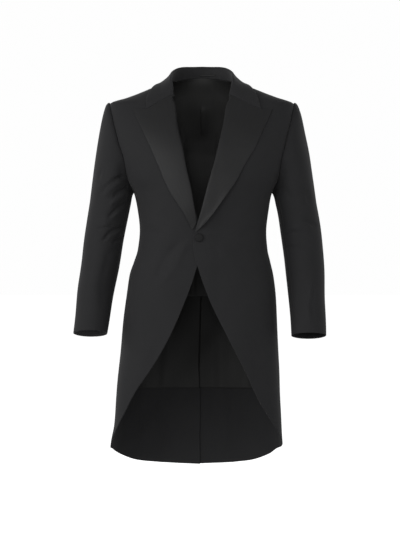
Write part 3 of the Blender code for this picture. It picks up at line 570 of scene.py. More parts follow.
def front_lift(points, side):
    """Lift of the wearer's left front over the right one, falling away from the centre."""
    near = 1.0 - smooth_step(points[..., 0], *LAP_ACROSS)
    return (side > 0) * LAP_LIFT * near * (points[..., 1] < 0)


def vent_lift(points, side):
    """Lift of the wearer's left back over the right one at the vent, falling away from it."""
    angle = body_angle(points, side)
    low = 1.0 - smooth_step(points[..., 2], *VENT_HEIGHTS)
    return (side > 0) * VENT_LIFT * low * smooth_step(angle, *VENT_ANGLES)


def laid_on_body(edges, side):
    """Outer points and normals of cloth between four seams: a Coons patch settled on the figure,
    lifted at overlaps, with the creases and the unevenness added along the normals."""
    top, bottom, left, right = [body_point(edge[:, 0], edge[:, 1], side) for edge in edges]
    grid = patch(top, bottom, left, right)
    grid[1:-1, 1:-1] = onto_body(grid[1:-1, 1:-1])
    normals = body_normal(body_angle(grid, side), grid[..., 2], side)
    raised = front_lift(grid, side) + vent_lift(grid, side)
    raised = raised + creases(grid, -normals[..., 1], BODY_CREASES) + unevenness(grid)
    return grid + raised[..., None] * normals, normals


def fine_edged(grid, normals):
    """The grid and its normals with the extra rows near the edges."""
    rows = edged(grid.shape[0] - 1)[:, None]
    columns = edged(grid.shape[1] - 1)
    return between(grid, rows, columns), unit(between(normals, rows, columns))


PANELS = {}
SEAMS = {name: body_seams(name, side) for name, side in SIDES.items()}
for name, side in SIDES.items():
    seams = SEAMS[name]
    top = join(seams["neck_front"], seams["shoulder"])
    front = join(seams["roll"], seams["front_edge"])
    top[0] = front[0]
    outer_seam = join(seams["arm_front"], seams["side_front"])
    PANELS["forepart_" + name] = laid_on_body((top, seams["waist_front"], front, outer_seam), side)
    grid, normals = fine_edged(*PANELS["forepart_" + name])
    piece = cloth("forepart_" + name, grid, normals, WOOL_WALL, [WOOL, BODY_LINING],
                  ("edge", "flat", "edge", "seam"), (0.0008, 0.0, 0.0011, SEAM_ROUND))
    declared(piece, "forepart_" + name)


# Side bodies
# The narrow panel under each arm, cut apart so that the waist can be shaped. It is sewn to the
# forepart in front and to the back behind.
ARM_UNDER = [(75, -0.243), (83, -0.259), (93, -0.266), (104, -0.258), (113, -0.236), (118, -0.200)]
SIDE_BACK = [(118, -0.200), (131, -0.230), (144, -0.275), (154, -0.335), (160, -0.408)]
WAIST_SIDE = [(78, -0.414), (120, -0.414), (160, -0.408)]
for name, side in SIDES.items():
    seams = SEAMS[name]
    seams["arm_under"] = seam(ARM_UNDER, CELLS["arm_under"], side)
    seams["side_back"] = seam(SIDE_BACK, CELLS["side"], side)
    seams["waist_side"] = seam(WAIST_SIDE, CELLS["arm_under"], side)
    edges = (seams["arm_under"], seams["waist_side"], seams["side_front"], seams["side_back"])
    PANELS["side_body_" + name] = laid_on_body(edges, side)
    grid, normals = fine_edged(*PANELS["side_body_" + name])
    piece = cloth("side_body_" + name, grid, normals, WOOL_WALL, [WOOL, BODY_LINING],
                  ("seam", "flat", "seam", "seam"), (SEAM_ROUND, 0.0, SEAM_ROUND, SEAM_ROUND))
    declared(piece, "side_body_" + name)


# Backs
# Each back runs in one piece from the shoulder to the hem of the tail. The two are sewn down the
# centre to a vent, where the wearer's left one lies over the right one.
NECK_BACK = [(90, 0.034), (100, 0.036), (120, 0.041), (140, 0.0455), (160, 0.0485), (180, 0.050)]
ARM_BACK = [(118, -0.200), (119.5, -0.165), (117.5, -0.120), (111, -0.072), (100, -0.040),
            (90, -0.030)]
TAIL_SEAM = [(160, -0.408), (159, -0.600), (157.5, -0.800), (156, -0.996)]
HEM_BACK = [(156, -0.996), (170, -1.000), (180, -1.002)]
CENTRE_BACK = [(180, 0.050), (180, -0.200), (180, -0.408)]
CENTRE_TAIL = [(180, -0.408), (180, -0.600), (180, -0.725), (180.8, -0.765), (182, -1.002)]
for name, side in SIDES.items():
    seams = SEAMS[name]
    seams["neck_back"] = seam(NECK_BACK, CELLS["neck_back"], side)
    seams["arm_back"] = seam(ARM_BACK, CELLS["arm_back"], side)
    seams["tail"] = seam(TAIL_SEAM, CELLS["tail"], side)
    outer_seam = join(seams["arm_back"][::-1], seams["side_back"], seams["tail"])
    centre = join(seam(CENTRE_BACK, CELLS["arm_back"] + CELLS["side"], side),
                  seam(CENTRE_TAIL, CELLS["tail"], side))
    top = join(seams["shoulder"][::-1], seams["neck_back"])
    hem = seam(HEM_BACK[:-1] + [CENTRE_TAIL[-1]], CELLS["shoulder"] + CELLS["neck_back"], side)
    PANELS["back_" + name] = laid_on_body((top, hem, outer_seam, centre), side)
    grid, normals = fine_edged(*PANELS["back_" + name])
    piece = cloth("back_" + name, grid, normals, WOOL_WALL, [WOOL, WOOL],
                  ("edge", "edge", "seam", "seam"), (0.0008, 0.0010, SEAM_ROUND, SEAM_ROUND))
    declared(piece, "back_" + name)


# Skirts
# The lower fronts, sewn on at the waist and cut away in a long curve from the button to the back.
CUTAWAY = {
    "left": [(-8.2, -0.414), (-7.1, -0.433), (-3.7, -0.459), (0.3, -0.495), (6.2, -0.546),
             (18.5, -0.633), (31, -0.720), (44, -0.811), (54, -0.856), (69, -0.900),
             (77, -0.918), (84, -0.926)],
    "right": [(-1.4, -0.414), (0.4, -0.436), (3.7, -0.459), (6.6, -0.495), (11.4, -0.546),
              (22.8, -0.651), (34.4, -0.726), (45.8, -0.786), (55.3, -0.835), (68.4, -0.885),
              (76, -0.911), (84, -0.934)],
}
HEM_SKIRT = {
    "left": [(84, -0.926), (93, -0.931), (104, -0.941), (115, -0.949), (127, -0.968),
             (144, -0.989), (156, -0.996)],
    "right": [(84, -0.934), (92, -0.941), (103, -0.946), (112, -0.955), (122, -0.967),
              (140, -0.988), (156, -0.996)],
}
for name, side in SIDES.items():
    seams = SEAMS[name]
    cutaway = seam(CUTAWAY[name], CELLS["tail"], side)
    waist = join(seams["waist_front"], seams["waist_side"])
    hem = seam(HEM_SKIRT[name], (len(waist) - 1) // DETAIL, side)
    PANELS["skirt_" + name] = laid_on_body((waist, hem, cutaway, seams["tail"]), side)
    grid, normals = fine_edged(*PANELS["skirt_" + name])
    piece = cloth("skirt_" + name, grid, normals, WOOL_WALL, [WOOL, WOOL],
                  ("flat", "edge", "edge", "seam"), (0.0, 0.0010, 0.0011, SEAM_ROUND))
    declared(piece, "skirt_" + name)


# Lapels
# Peak lapels in a silk facing, turned back over the foreparts along a soft roll. They lie close
# at their outer edge and belly a little between.
GORGE = {
    "left": [(20.6, -0.0115), (27, -0.033), (36.6, -0.052)],
    "right": [(22, -0.0115), (27, -0.033), (34.6, -0.052)],
}
PEAK_TIP = {"left": (45, -0.049), "right": (44, -0.049)}
LAPEL_OUTER = {
    "left": [(45, -0.049), (44, -0.058), (37.4, -0.110), (33.1, -0.156), (28.4, -0.196),
             (22.9, -0.251), (16.3, -0.287), (5.9, -0.333), (-5.1, -0.370)],
    "right": [(44, -0.049), (43, -0.058), (36.5, -0.110), (32.5, -0.156), (29.6, -0.205),
              (27, -0.263), (22.4, -0.292), (15.4, -0.328), (9.8, -0.364)],
}
LAPEL_ROLL = {
    "left": ROLL["left"],
    "right": ROLL["right"][:-2] + [(7.8, -0.300), (5.8, -0.346), (8.6, -0.366)],
}
FACING_WALL = 0.0020
FACING_LIFT = 0.0032
LAPEL_BELLY = 0.0022
LAPEL_ROUND = 0.0016
LAPEL_OPEN = {"left": 0.0095, "right": 0.0020}
LAPEL_CELLS = 14
PEAK_CELLS = 2
GORGE_CELLS = 5
GORGE_SHARES = (0.0, 0.09, 0.33, 0.56, 0.78, 1.0)
GORGE_FINE = np.interp(np.linspace(0, GORGE_CELLS, GORGE_CELLS * DETAIL + 1),
                       np.arange(GORGE_CELLS + 1), GORGE_SHARES)
FACING = woven_material(
    "silk facing", SILK, {"Dark": (0.0110, 0.0110, 0.0114), "Light": (0.0250, 0.0250, 0.0258),
                          "Ribs per metre": 1100.0, "Roughness": 0.50, "Stitch inset": 0.0040},
    (0.25, 0.00015), Specular_IOR_Level=0.30, Sheen_Weight=0.04)
for name, side in SIDES.items():
    gorge = seam(GORGE[name], GORGE_CELLS, side, GORGE_FINE)
    peak = seam([GORGE[name][-1], PEAK_TIP[name]], PEAK_CELLS, side)
    top = join(gorge, peak)
    roll = seam(LAPEL_ROLL[name], LAPEL_CELLS, side)
    outer_edge = seam(LAPEL_OUTER[name], LAPEL_CELLS, side)
    hem = seam([LAPEL_ROLL[name][-1], LAPEL_OUTER[name][-1]], GORGE_CELLS + PEAK_CELLS, side)
    grid, normals = laid_on_body((top, hem, roll, outer_edge), side)
    down = np.linspace(0.0, 1.0, grid.shape[0])[:, None]
    across = np.linspace(0.0, 1.0, grid.shape[1])[None]
    belly = LAPEL_BELLY * np.sin(np.pi * across ** 0.7)
    belly = belly * smooth_step(down, 0.0, 0.25) * (1 - smooth_step(down, 0.8, 1.0))
    stands_off = LAPEL_OPEN[name] * across ** 3 * smooth_step(down, 0.40, 0.78)
    stands_off = stands_off * (1 - smooth_step(down, 0.92, 1.0))
    grid = grid + (FACING_LIFT + belly + stands_off)[..., None] * normals
    grid, normals = fine_edged(grid, normals)
    piece = cloth("lapel_" + name, grid, normals, FACING_WALL, [FACING, WOOL], ("edge",) * 4,
                  (0.0008, 0.0008, 0.0019, LAPEL_ROUND), stitched=(False, False, False, True))
    declared(piece, "lapel_" + name)


# Sleeves
# Two-piece sleeves, hung with a slight bend from the elbow. The top sleeve shows in front, the
# under sleeve faces the body, and a little fullness is shrunk into the head at the armhole.
SLEEVE_WALL = 0.0018
# height, centre across, centre depth, half width, half depth, slope of the ring
SLEEVE = {
    "left": np.array([
        (-0.290, 0.2481, 0.002, 0.0545, 0.076, 0.00),
        (-0.337, 0.2568, 0.003, 0.0537, 0.072, 0.00),
        (-0.400, 0.2663, 0.002, 0.0533, 0.067, 0.02),
        (-0.464, 0.2719, -0.005, 0.0515, 0.063, 0.08),
        (-0.528, 0.2755, -0.020, 0.0487, 0.057, 0.15),
        (-0.591, 0.2775, -0.042, 0.0467, 0.050, 0.20),
        (-0.6405, 0.2780, -0.061, 0.0452, 0.046, 0.23),
    ]),
    "right": np.array([
        (-0.290, 0.2424, 0.002, 0.0547, 0.076, 0.00),
        (-0.337, 0.2508, 0.003, 0.0540, 0.072, 0.00),
        (-0.400, 0.2618, 0.002, 0.0525, 0.067, 0.02),
        (-0.464, 0.2704, -0.005, 0.0503, 0.063, 0.08),
        (-0.528, 0.2798, -0.020, 0.0483, 0.057, 0.15),
        (-0.591, 0.2871, -0.042, 0.0460, 0.050, 0.20),
        (-0.6345, 0.2920, -0.061, 0.0442, 0.046, 0.24),
    ]),
}
CAP_STEPS = (0.0, 0.07, 0.16, 0.28, 0.44, 0.62, 0.82, 1.0)
CAP_REACH = 0.075
CAP_REACH_SHARE = 0.6
CAP_FAN = 0.40
CAP_SLANT = 0.13
ARM_ROWS = 150
SLEEVE_DETAIL = 9
TOP_SLEEVE_FRONT = 8
TOP_SLEEVE_BACK = 5
CUFF_TURN = 0.038
# How far the head's start laps over the shoulder's tip, and from which height to which it comes in
TIP_LAP = 0.0036
TIP_HEIGHTS = (-0.062, -0.034)
# The padded roll round the head: its rise, its distance from the seam and half its width, the
# heights between which it comes in, and the distance from the seam at which the creases do
ROPE_RISE = 0.0006
ROPE_PLACE = (0.013, 0.009)
ROPE_HEIGHTS = (-0.150, -0.060)
CREASES_FROM = 0.025
# Creases, as the body's are written
SLEEVE_CREASES = {
    "left": [
        (0.262, -0.262, 0.286, -0.296, 0.0085, -0.0024, 1),
        (0.262, -0.342, 0.300, -0.352, 0.0055, -0.0030, 1),
        (0.222, -0.373, 0.246, -0.371, 0.0045, -0.0020, 1),
        (0.238, -0.356, 0.286, -0.372, 0.0075, 0.0018, 1),
        (0.212, -0.250, 0.244, -0.300, 0.0085, -0.0018, 1),
        (0.222, -0.402, 0.262, -0.424, 0.0075, -0.0016, 1),
        (0.281, -0.500, 0.279, -0.600, 0.0075, 0.0024, 1),
        (0.288, -0.505, 0.287, -0.590, 0.0050, -0.0022, 1),
        (0.250, -0.480, 0.252, -0.590, 0.0110, -0.0014, 1),
        (0.212, -0.215, 0.262, -0.262, 0.010, -0.0022, -1),
        (0.218, -0.330, 0.290, -0.366, 0.010, -0.0022, -1),
        (0.226, -0.384, 0.300, -0.402, 0.009, -0.0024, -1),
        (0.228, -0.410, 0.304, -0.438, 0.011, 0.0016, -1),
    ],
    "right": [
        (-0.266, -0.264, -0.221, -0.232, 0.0045, -0.0048, 1),
        (-0.225, -0.234, -0.198, -0.220, 0.0042, -0.0052, 1),
        (-0.256, -0.278, -0.206, -0.236, 0.0065, 0.0034, 1),
        (-0.229, -0.281, -0.195, -0.243, 0.0042, -0.0052, 1),
        (-0.238, -0.304, -0.200, -0.264, 0.0070, 0.0038, 1),
        (-0.244, -0.337, -0.197, -0.285, 0.0052, -0.0052, 1),
        (-0.276, -0.361, -0.231, -0.359, 0.0042, -0.0020, 1),
        (-0.258, -0.352, -0.206, -0.312, 0.0080, 0.0026, 1),
        (-0.258, -0.390, -0.206, -0.352, 0.0050, -0.0054, 1),
        (-0.246, -0.388, -0.208, -0.360, 0.0055, 0.0024, 1),
        (-0.230, -0.399, -0.203, -0.375, 0.0045, -0.0046, 1),
        (-0.270, -0.236, -0.262, -0.210, 0.0055, -0.0018, 1),
        (-0.252, -0.445, -0.218, -0.405, 0.0090, -0.0014, 1),
        (-0.262, -0.560, -0.244, -0.430, 0.0120, -0.0022, 1),
        (-0.206, -0.212, -0.262, -0.258, 0.010, -0.0026, -1),
        (-0.212, -0.322, -0.286, -0.360, 0.010, -0.0026, -1),
        (-0.220, -0.376, -0.296, -0.398, 0.009, -0.0026, -1),
        (-0.222, -0.404, -0.300, -0.432, 0.011, 0.0018, -1),
    ],
}
SLEEVE_LINING = woven_material(
    "sleeve lining", SILK, {"Dark": (0.016, 0.016, 0.016), "Light": (0.034, 0.034, 0.034),
                            "Ribs per metre": 2200.0, "Roughness": 0.40},
    (0.15, 0.0001), Specular_IOR_Level=0.35)


def ring_seam(rows, cells, side):
    """Seam with the sleeve's finer spacing."""
    return seam(rows, None, side, np.linspace(0.0, 1.0, cells * SLEEVE_DETAIL + 1))


def sleeve_ring(name, height, turn):
    """Rings of the sleeve below its head: ellipses, sloping forwards, at each height."""
    table = SLEEVE[name][::-1]
    across, depth, half_width, half_depth, slope = [
        curve(table[:, 0], table[:, column], height)[:, None] for column in (1, 2, 3, 4, 5)]
    step_back = -half_depth * np.sin(turn)[None]
    return np.stack([across + half_width * np.cos(turn)[None], depth + step_back,
                     height[:, None] - slope * step_back], -1)


def sleeve_grid(name, side):
    """Sleeve from armhole to cuff: Hermite curves leave the armhole outwards and arrive down the
    arm at the first ring, and rings follow below."""
    ring = join(ring_seam(ARM_FRONT, CELLS["arm_front"], side),
                ring_seam(ARM_UNDER, CELLS["arm_under"], side),
                ring_seam(ARM_BACK, CELLS["arm_back"], side))
    armhole = body_point(ring[:, 0], ring[:, 1], side)
    outwards = body_normal(ring[:, 0], ring[:, 1], side)
    raised = creases(armhole, -outwards[:, 1], BODY_CREASES) + unevenness(armhole)
    armhole = armhole + raised[:, None] * outwards
    armhole[:, 2] += TIP_LAP * smooth_step(armhole[:, 2], *TIP_HEIGHTS)
    walked = np.r_[0.0, np.cumsum(np.linalg.norm(np.diff(armhole, axis=0), axis=1))]
    turn = 2 * np.pi * walked / walked[-1]
    armhole[:, 0] *= side
    heights = np.linspace(SLEEVE[name][0, 0], SLEEVE[name][-1, 0], ARM_ROWS + 1)
    lower = sleeve_ring(name, heights, turn)
    biceps = lower[0]
    reach = np.linalg.norm(biceps - armhole, axis=1, keepdims=True)
    radial = armhole - armhole.mean(axis=0)
    radial[:, 0] = 0.0
    leave = unit(np.array([1.0, 0.0, 0.0]) + CAP_FAN * unit(radial))
    leave = leave * np.minimum(CAP_REACH, CAP_REACH_SHARE * reach)
    arrive = reach * np.array([CAP_SLANT, 0.0, -1.0])
    count = (len(CAP_STEPS) - 1) * SLEEVE_DETAIL
    step = np.interp(np.arange(count) / SLEEVE_DETAIL, np.arange(len(CAP_STEPS)), CAP_STEPS)
    step = step[:, None, None]
    start = 2 * step ** 3 - 3 * step ** 2 + 1
    head = start * armhole + (1 - start) * biceps
    head = head + (step ** 3 - 2 * step ** 2 + step) * leave + (step ** 3 - step ** 2) * arrive
    grid = np.concatenate([head, lower])
    grid[..., 0] *= side
    return grid


def grid_normals(points):
    """Unit normals of a grid: the step down crossed with the step across."""
    return unit(np.cross(np.gradient(points, axis=0), np.gradient(points, axis=1)))


SLEEVES = {}
for name, side in SIDES.items():
    grid = sleeve_grid(name, side)
    closed = np.concatenate([grid[:, -2:-1], grid, grid[:, 1:2]], axis=1)
    normals = grid_normals(closed)[:, 1:-1]
    normals = normals * np.sign(normals[-1, 0, 0] * side)
    below = edge_distances(grid)[0]
    rope = ROPE_RISE * np.exp(-((below - ROPE_PLACE[0]) / ROPE_PLACE[1]) ** 2)
    rope = rope * smooth_step(grid[..., 2], *ROPE_HEIGHTS)
    raised = creases(grid, -normals[..., 1], SLEEVE_CREASES[name]) + unevenness(grid)
    raised = raised * smooth_step(below, 0.0, CREASES_FROM) + rope
    grid = grid + raised[..., None] * normals
    SLEEVES[name] = (grid, normals)
    last = grid.shape[1] - 1
    front_seam, back_seam = TOP_SLEEVE_FRONT * SLEEVE_DETAIL, TOP_SLEEVE_BACK * SLEEVE_DETAIL
    for piece_name, columns in (
            ("top_sleeve_" + name, np.arange(-back_seam, front_seam + 1) % last),
            ("under_sleeve_" + name, np.arange(front_seam, last - back_seam + 1))):
        points, facing = fine_edged(grid[:, columns], normals[:, columns])
        above_hem = edge_distances(points)[1].mean(1)
        piece = cloth(piece_name, points, facing, SLEEVE_WALL, [WOOL, SLEEVE_LINING],
                      ("armhole", "edge", "seam", "seam"), (SEAM_ROUND, 0.0008, 0.0009, 0.0009),
                      hem_turn=int((above_hem > CUFF_TURN).sum()))
        declared(piece, piece_name)


# Collar
# A stand round the neck and a fall turned over it, cut from the coat's wool. Each end of the fall
# is sewn to its lapel at the gorge.
COLLAR_WALL = 0.0020
STAND_WALL = 0.0015
STAND_BELOW_FOLD = 0.0013
STAND_BELOW_NECK = 0.0032
COLLAR_END_GAP = 0.0004
FALL_CLEARANCE = 0.0050
FALL_BULGE = ((0.0, 0.004), (0.6, 0.003), (1.0, -0.005), (1.4, -0.003), (2.0, 0.0))
# share of the way (0 centre back, 1 shoulder, 2 gorge), across, depth, height
FOLD = np.array([
    (0.00, 0.0000, 0.0620, 0.0755), (0.25, 0.0210, 0.0610, 0.0755), (0.50, 0.0440, 0.0550, 0.0750),
    (0.75, 0.0640, 0.0380, 0.0700), (1.00, 0.0775, -0.0020, 0.0505),
    (1.35, 0.0785, -0.0280, 0.0300), (1.70, 0.0755, -0.0445, 0.0115),
    (2.00, 0.0710, -0.0560, -0.0100),
])
COLLAR_EDGE = np.array([
    (0.00, 0.0000, 0.0770, 0.0360), (0.25, 0.0250, 0.0755, 0.0355), (0.50, 0.0530, 0.0690, 0.0335),
    (0.75, 0.0840, 0.0480, 0.0290), (1.00, 0.1160, 0.0000, 0.0232), (1.35, 0.1300, -0.0210, 0.0120),
    (1.70, 0.1430, -0.0450, -0.0130), (2.00, 0.1520, -0.0680, -0.0500),
])
# Over the fold, column by column: way out and way up, then how the cloth faces there
FOLD_WAYS = ((0.0, 0.0), (0.0010, 0.0017), (0.0036, 0.0020), (0.0066, 0.0000))
END_FOLD_WAYS = ((0.0, 0.0006), (0.0012, 0.0014), (0.0036, 0.0010))
FOLD_FACING = ((-1.0, 0.0), (-0.5, 0.85), (0.35, 0.94))
FALL_SHARES = (0.0, 0.30, 0.55, 0.78, 1.0)
COLLAR_DETAIL = 6
STAND_COLUMNS = 13
FALL_MIDDLE = 0.4
# Share of the coat's unevenness that the fall has, and between which columns it comes in
FALL_UNEVEN = 0.6
FALL_UNEVEN_FROM = (14, 22)
COLLAR_WOOL = woven_material(
    "collar worsted", TWILL, {"Dark": (0.0140, 0.0140, 0.0150), "Light": (0.0340, 0.0340, 0.0355),
                              "Ribs per metre": 950.0, "Roughness": 0.70},
    (0.30, 0.0002), Specular_IOR_Level=0.20, Sheen_Weight=0.12, Sheen_Roughness=0.45)


def neck_ring():
    """Neck seam from the wearer's left gorge round the back to the right one."""
    halves = []
    for name, side in SIDES.items():
        way = join(SEAMS[name]["neck_front"], SEAMS[name]["neck_back"])
        halves.append(body_point(way[:, 0], way[:, 1], side))
    return np.concatenate([halves[0], halves[1][::-1][1:]])


COLLAR_SHARES = np.concatenate([np.linspace(2.0, 1.0, CELLS["neck_front"] * DETAIL + 1),
                                np.linspace(1.0, 0.0, CELLS["neck_back"] * DETAIL + 1)[1:]])


def collar_row(table):
    """Line of the collar by the table, from the wearer's left gorge to the right one."""
    half = [curve(table[:, 0], table[:, column], COLLAR_SHARES) for column in (1, 2, 3)]
    half = np.stack(half, -1)
    return np.concatenate([half, half[::-1][1:] * np.array([-1.0, 1.0, 1.0])])


def clear_of_body(points, margin):
    """Points moved out along the figure's normal where they are nearer to it than the margin."""
    moved = points.copy()
    for side in (1.0, -1.0):
        here = (points[..., 0] * side >= 0) & (points[..., 2] < BODY[-1, 0])
        angle = body_angle(points[here], side)
        height = points[here][..., 2]
        normals = body_normal(angle, height, side)
        short = margin - ((points[here] - body_point(angle, height, side)) * normals).sum(-1)
        moved[here] = points[here] + np.maximum(short, 0.0)[..., None] * normals
    return moved


neck = neck_ring()
fold = collar_row(FOLD)
edge = collar_row(COLLAR_EDGE)
rows_from_end = np.minimum(np.arange(len(neck)), np.arange(len(neck))[::-1])
end_share = 1.0 - smooth_step(rows_from_end / DETAIL, 0.0, 1.0)[:, None]
# Which half of the collar's rows goes with each end
ENDS = {0: slice(0, len(neck) // 2), -1: slice(len(neck) // 2, None)}
gorges = {}
for (end, half), (name, side) in zip(ENDS.items(), SIDES.items()):
    way = seam(GORGE[name], GORGE_CELLS, side, GORGE_FINE)
    gorge_normals = body_normal(way[:, 0], way[:, 1], side)
    gorges[end] = body_point(way[:, 0], way[:, 1], side) + FACING_LIFT * gorge_normals
    fold[half] += end_share[half] * (gorges[end][0] + COLLAR_WALL * gorge_normals[0] - fold[end])
    edge[half] += end_share[half] * (gorges[end][-1] - edge[end])
rise = unit(fold - neck)
out = edge - fold
out = unit(out - (out * rise).sum(-1, keepdims=True) * rise)

foot = neck - STAND_BELOW_NECK * rise
head = fold - STAND_BELOW_FOLD * rise
shares = np.linspace(0.0, 1.0, STAND_COLUMNS)[None, :, None]
stand = ((1 - shares) * foot[:, None] + shares * head[:, None])[DETAIL:-DETAIL]
inwards = -np.repeat(out[:, None], stand.shape[1], axis=1)[DETAIL:-DETAIL]
stand_piece = cloth("collar_stand", stand, inwards, STAND_WALL, [COLLAR_WOOL],
                    ("edge",) * 4, (0.0005,) * 4)

turns = np.linspace(0.0, 3.0, 3 * COLLAR_DETAIL + 1)
ways = [curve(np.arange(4), part, turns)[None, :, None] for part in zip(*FOLD_WAYS)]
over = fold[:, None] + ways[0] * out[:, None] + ways[1] * rise[:, None]
start = over[:, -1:]
bulge = curve(*zip(*FALL_BULGE), COLLAR_SHARES)
bulge = np.concatenate([bulge, bulge[::-1][1:]])[:, None, None]
middle = start + FALL_MIDDLE * (edge[:, None] - start) + bulge * out[:, None]
falls = np.linspace(3.0, 7.0, 4 * COLLAR_DETAIL + 1)[1:]
share = np.interp(falls - 3.0, np.arange(5), FALL_SHARES)[None, :, None]
hanging = (1 - share) ** 2 * start + 2 * share * (1 - share) * middle
hanging = hanging + share ** 2 * edge[:, None]
fall = np.concatenate([over, clear_of_body(hanging, FALL_CLEARANCE)], axis=1)
numbers = np.concatenate([turns, falls])
for end, half in ENDS.items():
    places = [gorges[end][0] + way * out[end] + climb * rise[end] for way, climb in END_FOLD_WAYS]
    places = np.concatenate([places, gorges[end][DETAIL::DETAIL]])
    last_row = np.stack([np.interp(numbers, np.arange(8), axis) for axis in places.T], -1)
    fall[half] = fall[half] + end_share[half][:, None] * (last_row - fall[end])
normals = grid_normals(fall)
normals *= np.sign(normals[len(fold) // 2, -6, 1])
facing_ways = [np.interp(turns, np.arange(3), part)[None, :, None] for part in zip(*FOLD_FACING)]
facing = unit(facing_ways[0] * out[:, None] + facing_ways[1] * rise[:, None])
blend = smooth_step(turns, 2.0, 3.0)[None, :, None]
normals[:, :len(turns)] = unit((1 - blend) * facing + blend * normals[:, :len(turns)])
comes_in = smooth_step(np.arange(fall.shape[1]), *FALL_UNEVEN_FROM)[None, :, None]
fall = fall + unevenness(fall)[..., None] * normals * comes_in * FALL_UNEVEN
fall = drawn_in(fall, [COLLAR_END_GAP, COLLAR_END_GAP, 0.0, 0.0])
rows = edged(fall.shape[0] - 1)[:, None]
last = fall.shape[1] - 1
columns = np.concatenate([np.arange(float(last)), last - np.array(EDGE_ROWS[::-1])])
fall = between(fall, rows, columns)
normals = unit(between(normals, rows, columns))
fall_piece = cloth("collar_fall", fall, normals, COLLAR_WALL, [COLLAR_WOOL],
                   ("edge",) * 4, (0.0008, 0.0008, 0.0002, 0.0016))
declared(fall_piece, "collar_fall")


# Linings
# A satin lining covers the inside of both backs to below the waist and hangs free at its hem. A
# second one faces each tail. A pleat down the centre of the back lets the shoulders move.
LINING_WALL = 0.0010
LINING_GAP = 0.0010
LINING_DRAWN_IN = 0.003
LINING_HEM = -0.540
TAIL_LINING_HEIGHTS = (-0.500, -0.793)
# The two tail linings meet down to the vent and part there: edge columns parted and met, and depths
# below the origin between which they part
TAIL_LINING_EDGES = (8.85 * DETAIL, 8.95 * DETAIL)
TAIL_LINING_PARTS = (0.615, 0.655)
HEM_FLARE = 0.005
FLARE_HEIGHTS = (LINING_HEM, -0.470)
FOLDS_FADE = (-0.005, 0.030)
# The pleat's rise and place across, half the width of its edge, how wide it fades, and between
# which depths below the origin it starts and ends
PLEAT_RISE = 0.0022
PLEAT_PLACE = -0.0026
PLEAT_EDGE = 0.0008
PLEAT_WIDTH = 0.016
PLEAT_STARTS = (0.022, 0.040)
PLEAT_ENDS = (0.084, 0.106)
TAIL_LINING = woven_material(
    "tail lining", SILK, {"Dark": (0.0140, 0.0140, 0.0138), "Light": (0.0273, 0.0273, 0.0269),
                          "Ribs per metre": 2200.0, "Roughness": 0.50},
    (0.15, 0.0001), Specular_IOR_Level=0.25)
# Soft folds of the hanging lining: from x, z to x, z, half width, rise, and side that it shows on
LINING_FOLDS = [
    (0.045, -0.060, 0.052, -0.300, 0.010, 0.0024, -1),
    (-0.050, -0.070, -0.046, -0.320, 0.011, 0.0026, -1),
    (-0.086, -0.110, -0.074, -0.330, 0.010, 0.0020, -1),
    (0.090, -0.110, 0.078, -0.330, 0.010, 0.0020, -1),
    (-0.024, -0.380, -0.028, -0.540, 0.009, 0.0022, -1),
    (0.022, -0.360, 0.030, -0.540, 0.010, 0.0024, -1),
]


def lining_grid(strips, top, low, count):
    """Lining inside its panels: their own points between two heights, one wall and a gap further
    in. Each strip is a panel and its columns, and top None starts at the panel's first row."""
    points = []
    facing = []
    shares = np.linspace(0.0, 1.0, count)[:, None]
    for carrier, columns in strips:
        grid, normals = PANELS[carrier]
        numbers = np.arange(grid.shape[0], dtype=float)
        lines = between(grid, numbers[:, None], columns)[..., 2].T
        first = np.zeros(len(columns))
        if top is not None:
            first = np.array([np.interp(-top, -line, numbers) for line in lines])
        last = np.array([np.interp(-low, -line, numbers) for line in lines])
        rows = first[None] + (last - first)[None] * shares
        points.append(between(grid, rows, columns))
        facing.append(unit(between(normals, rows, columns)))
    return np.concatenate(points, axis=1), np.concatenate(facing, axis=1)


wide = 9.0 * DETAIL
columns = np.concatenate([np.arange(1.0 * DETAIL, wide - 2), np.arange(wide - 2, wide + 0.01, 0.2)])
strips = [("back_left", columns), ("back_right", columns[-2::-1])]
points, facing = lining_grid(strips, None, LINING_HEM, 150)
points = drawn_in(points, [LINING_DRAWN_IN, 0.0, 0.0, 0.0])
deep = WOOL_WALL + LINING_GAP + HEM_FLARE * (1 - smooth_step(points[..., 2], *FLARE_HEIGHTS))
shown = 1 - smooth_step(points[..., 2], *FOLDS_FADE)
folds = creases(points, -facing[..., 1], LINING_FOLDS)
away = points[..., 0] - PLEAT_PLACE
fading = np.exp(-(np.maximum(away, 0.0) / PLEAT_WIDTH) ** 2)
pleat = PLEAT_RISE * smooth_step(away, -PLEAT_EDGE, PLEAT_EDGE) * fading
pleat = pleat * smooth_step(-points[..., 2], *PLEAT_STARTS)
pleat = pleat * (1 - smooth_step(-points[..., 2], *PLEAT_ENDS))
deep = deep + (np.maximum(folds, 0.0) + pleat) * shown
points = points - deep[..., None] * facing
lining_piece = cloth("lining_back", points, facing, LINING_WALL, [BODY_LINING],
                     ("edge",) * 4, (0, 0.0005, 0, 0))
declared(lining_piece, "lining_back")

